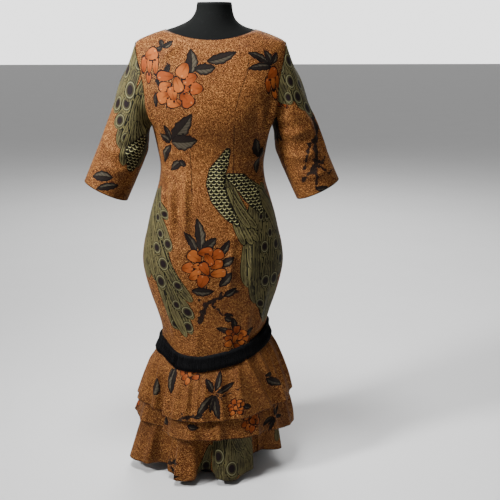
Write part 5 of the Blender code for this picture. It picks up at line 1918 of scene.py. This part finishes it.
def make_zip():
    levels = np.linspace(ZIP_BOTTOM_LEVEL, NECKLINE_LEVEL, TAPE_ROWS + 1)
    spine = back_spine(levels)
    shares = np.linspace(1.0, 0.0, TAPE_COLUMNS + 1) - 0.5
    points = np.repeat(spine[:, None], TAPE_COLUMNS + 1, axis=1)
    points[..., 0] = shares * ZIP_CHAIN_WIDTH
    points[..., 1] -= TAPE_SINK
    mesh, _, _ = grid_mesh("zip_tape", points)
    tape = show("zip_tape", mesh, "zip_tape_weave")
    wall = tape.modifiers.new("thickness", "SOLIDIFY")
    wall.thickness = TAPE_THICKNESS
    wall.offset = -1.0
    bm = bmesh.new()
    lengths = np.concatenate(([0.0], np.cumsum(np.linalg.norm(np.diff(spine, axis=0), axis=1))))
    for number, reach in enumerate(np.arange(0.002, lengths[-1] - 0.002, TOOTH_PITCH)):
        level = np.interp(reach, lengths, levels)
        spot = back_spine(level)
        step = back_spine(level + 0.001) - back_spine(level - 0.001)
        slope = Matrix.Rotation(math.atan2(step[1], step[2]), 4, "X").inverted()
        side = 1 if number % 2 else -1
        middle = Matrix.Translation((side * TOOTH_OFFSET, spot[1] + 0.0001, spot[2]))
        size = Matrix.Diagonal((*TOOTH_SIZE, 1.0))
        bmesh.ops.create_cube(bm, size=1.0, matrix=middle @ slope @ size)
    mesh = bpy.data.meshes.new("zip_teeth")
    bm.to_mesh(mesh)
    bm.free()
    show("zip_teeth", mesh, "aged_brass")
    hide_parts("zip_chain")


make_zip()
for node in ("zip_slider", "zip_pull"):
    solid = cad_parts[node]
    solid.data.materials.clear()
    solid.data.materials.append(bpy.data.materials["aged_brass"])

# %% [markdown]
# The dress stands on a plain pale floor. One soft light hangs above and in front, a key light on the left
# gives the shaded right side that the photo shows, and one behind keeps the floor pale. The air adds a
# little from all round, as white studio walls do.
# %% Floor and light
FLOOR_SIZE = 30.0
FLOOR_DARK = (0.70, 0.70, 0.70)
FLOOR_PALE = (0.74, 0.74, 0.74)
# A light's row: name, place, target, width, watts, and how wide it spreads in degrees
LIGHTS = (
    ("overhead", (-0.3, -0.6, 3.0), (0.0, -0.1, 1.3), 0.8, 82.0, 180.0),
    ("key", (-2.2, -1.2, 2.2), (0.0, 0.0, 1.35), 0.5, 35.0, 75.0),
    ("back", (0.3, 3.4, 3.0), (0.0, 1.4, 0.0), 2.4, 120.0, 180.0),
)
AIR_DIM = 0.17
AIR_BRIGHT = 2.4


def make_floor():
    bm = bmesh.new()
    bmesh.ops.create_grid(bm, x_segments=1, y_segments=1, size=FLOOR_SIZE)
    mesh = bpy.data.meshes.new("floor")
    bm.to_mesh(mesh)
    bm.free()
    floor = bpy.data.objects.new("floor", mesh)
    bpy.context.scene.collection.objects.link(floor)
    material, tree, shader = new_material("studio_floor")
    place = object_place(tree)
    tone = blend_ink(tree, noise(tree, place, 3.0, 3.0), FLOOR_DARK, FLOOR_PALE)
    tree.links.new(tone, shader.inputs["Base Color"])
    shader.inputs["Roughness"].default_value = 0.9
    mesh.materials.append(material)


def make_light(name, spot, target, size, watts, spread):
    """Round soft light, this wide in metres, that looks at its target."""
    light = bpy.data.lights.new(name, "AREA")
    light.shape = "DISK"
    light.size = size
    light.energy = watts
    light.spread = math.radians(spread)
    thing = bpy.data.objects.new(name, light)
    thing.location = spot
    thing.rotation_euler = (Vector(target) - Vector(spot)).to_track_quat("-Z", "Y").to_euler()
    bpy.context.scene.collection.objects.link(thing)


make_floor()
for light_row in LIGHTS:
    make_light(*light_row)


def make_studio_air():
    """Soft light from all round, brightest from behind the dress, where the studio's white wall stands."""
    world = bpy.data.worlds.new("studio")
    bpy.context.scene.world = world
    world.use_nodes = True
    tree = world.node_tree
    way = tree.nodes.new("ShaderNodeTexCoord").outputs["Generated"]
    apart = tree.nodes.new("ShaderNodeSeparateXYZ")
    tree.links.new(way, apart.inputs[0])
    air = tree.nodes["Background"]
    air.inputs["Color"].default_value = (1.0, 1.0, 1.0, 1.0)
    tree.links.new(ramp(tree, apart.outputs[1], 0.55, 0.95, AIR_DIM, AIR_BRIGHT), air.inputs["Strength"])


make_studio_air()
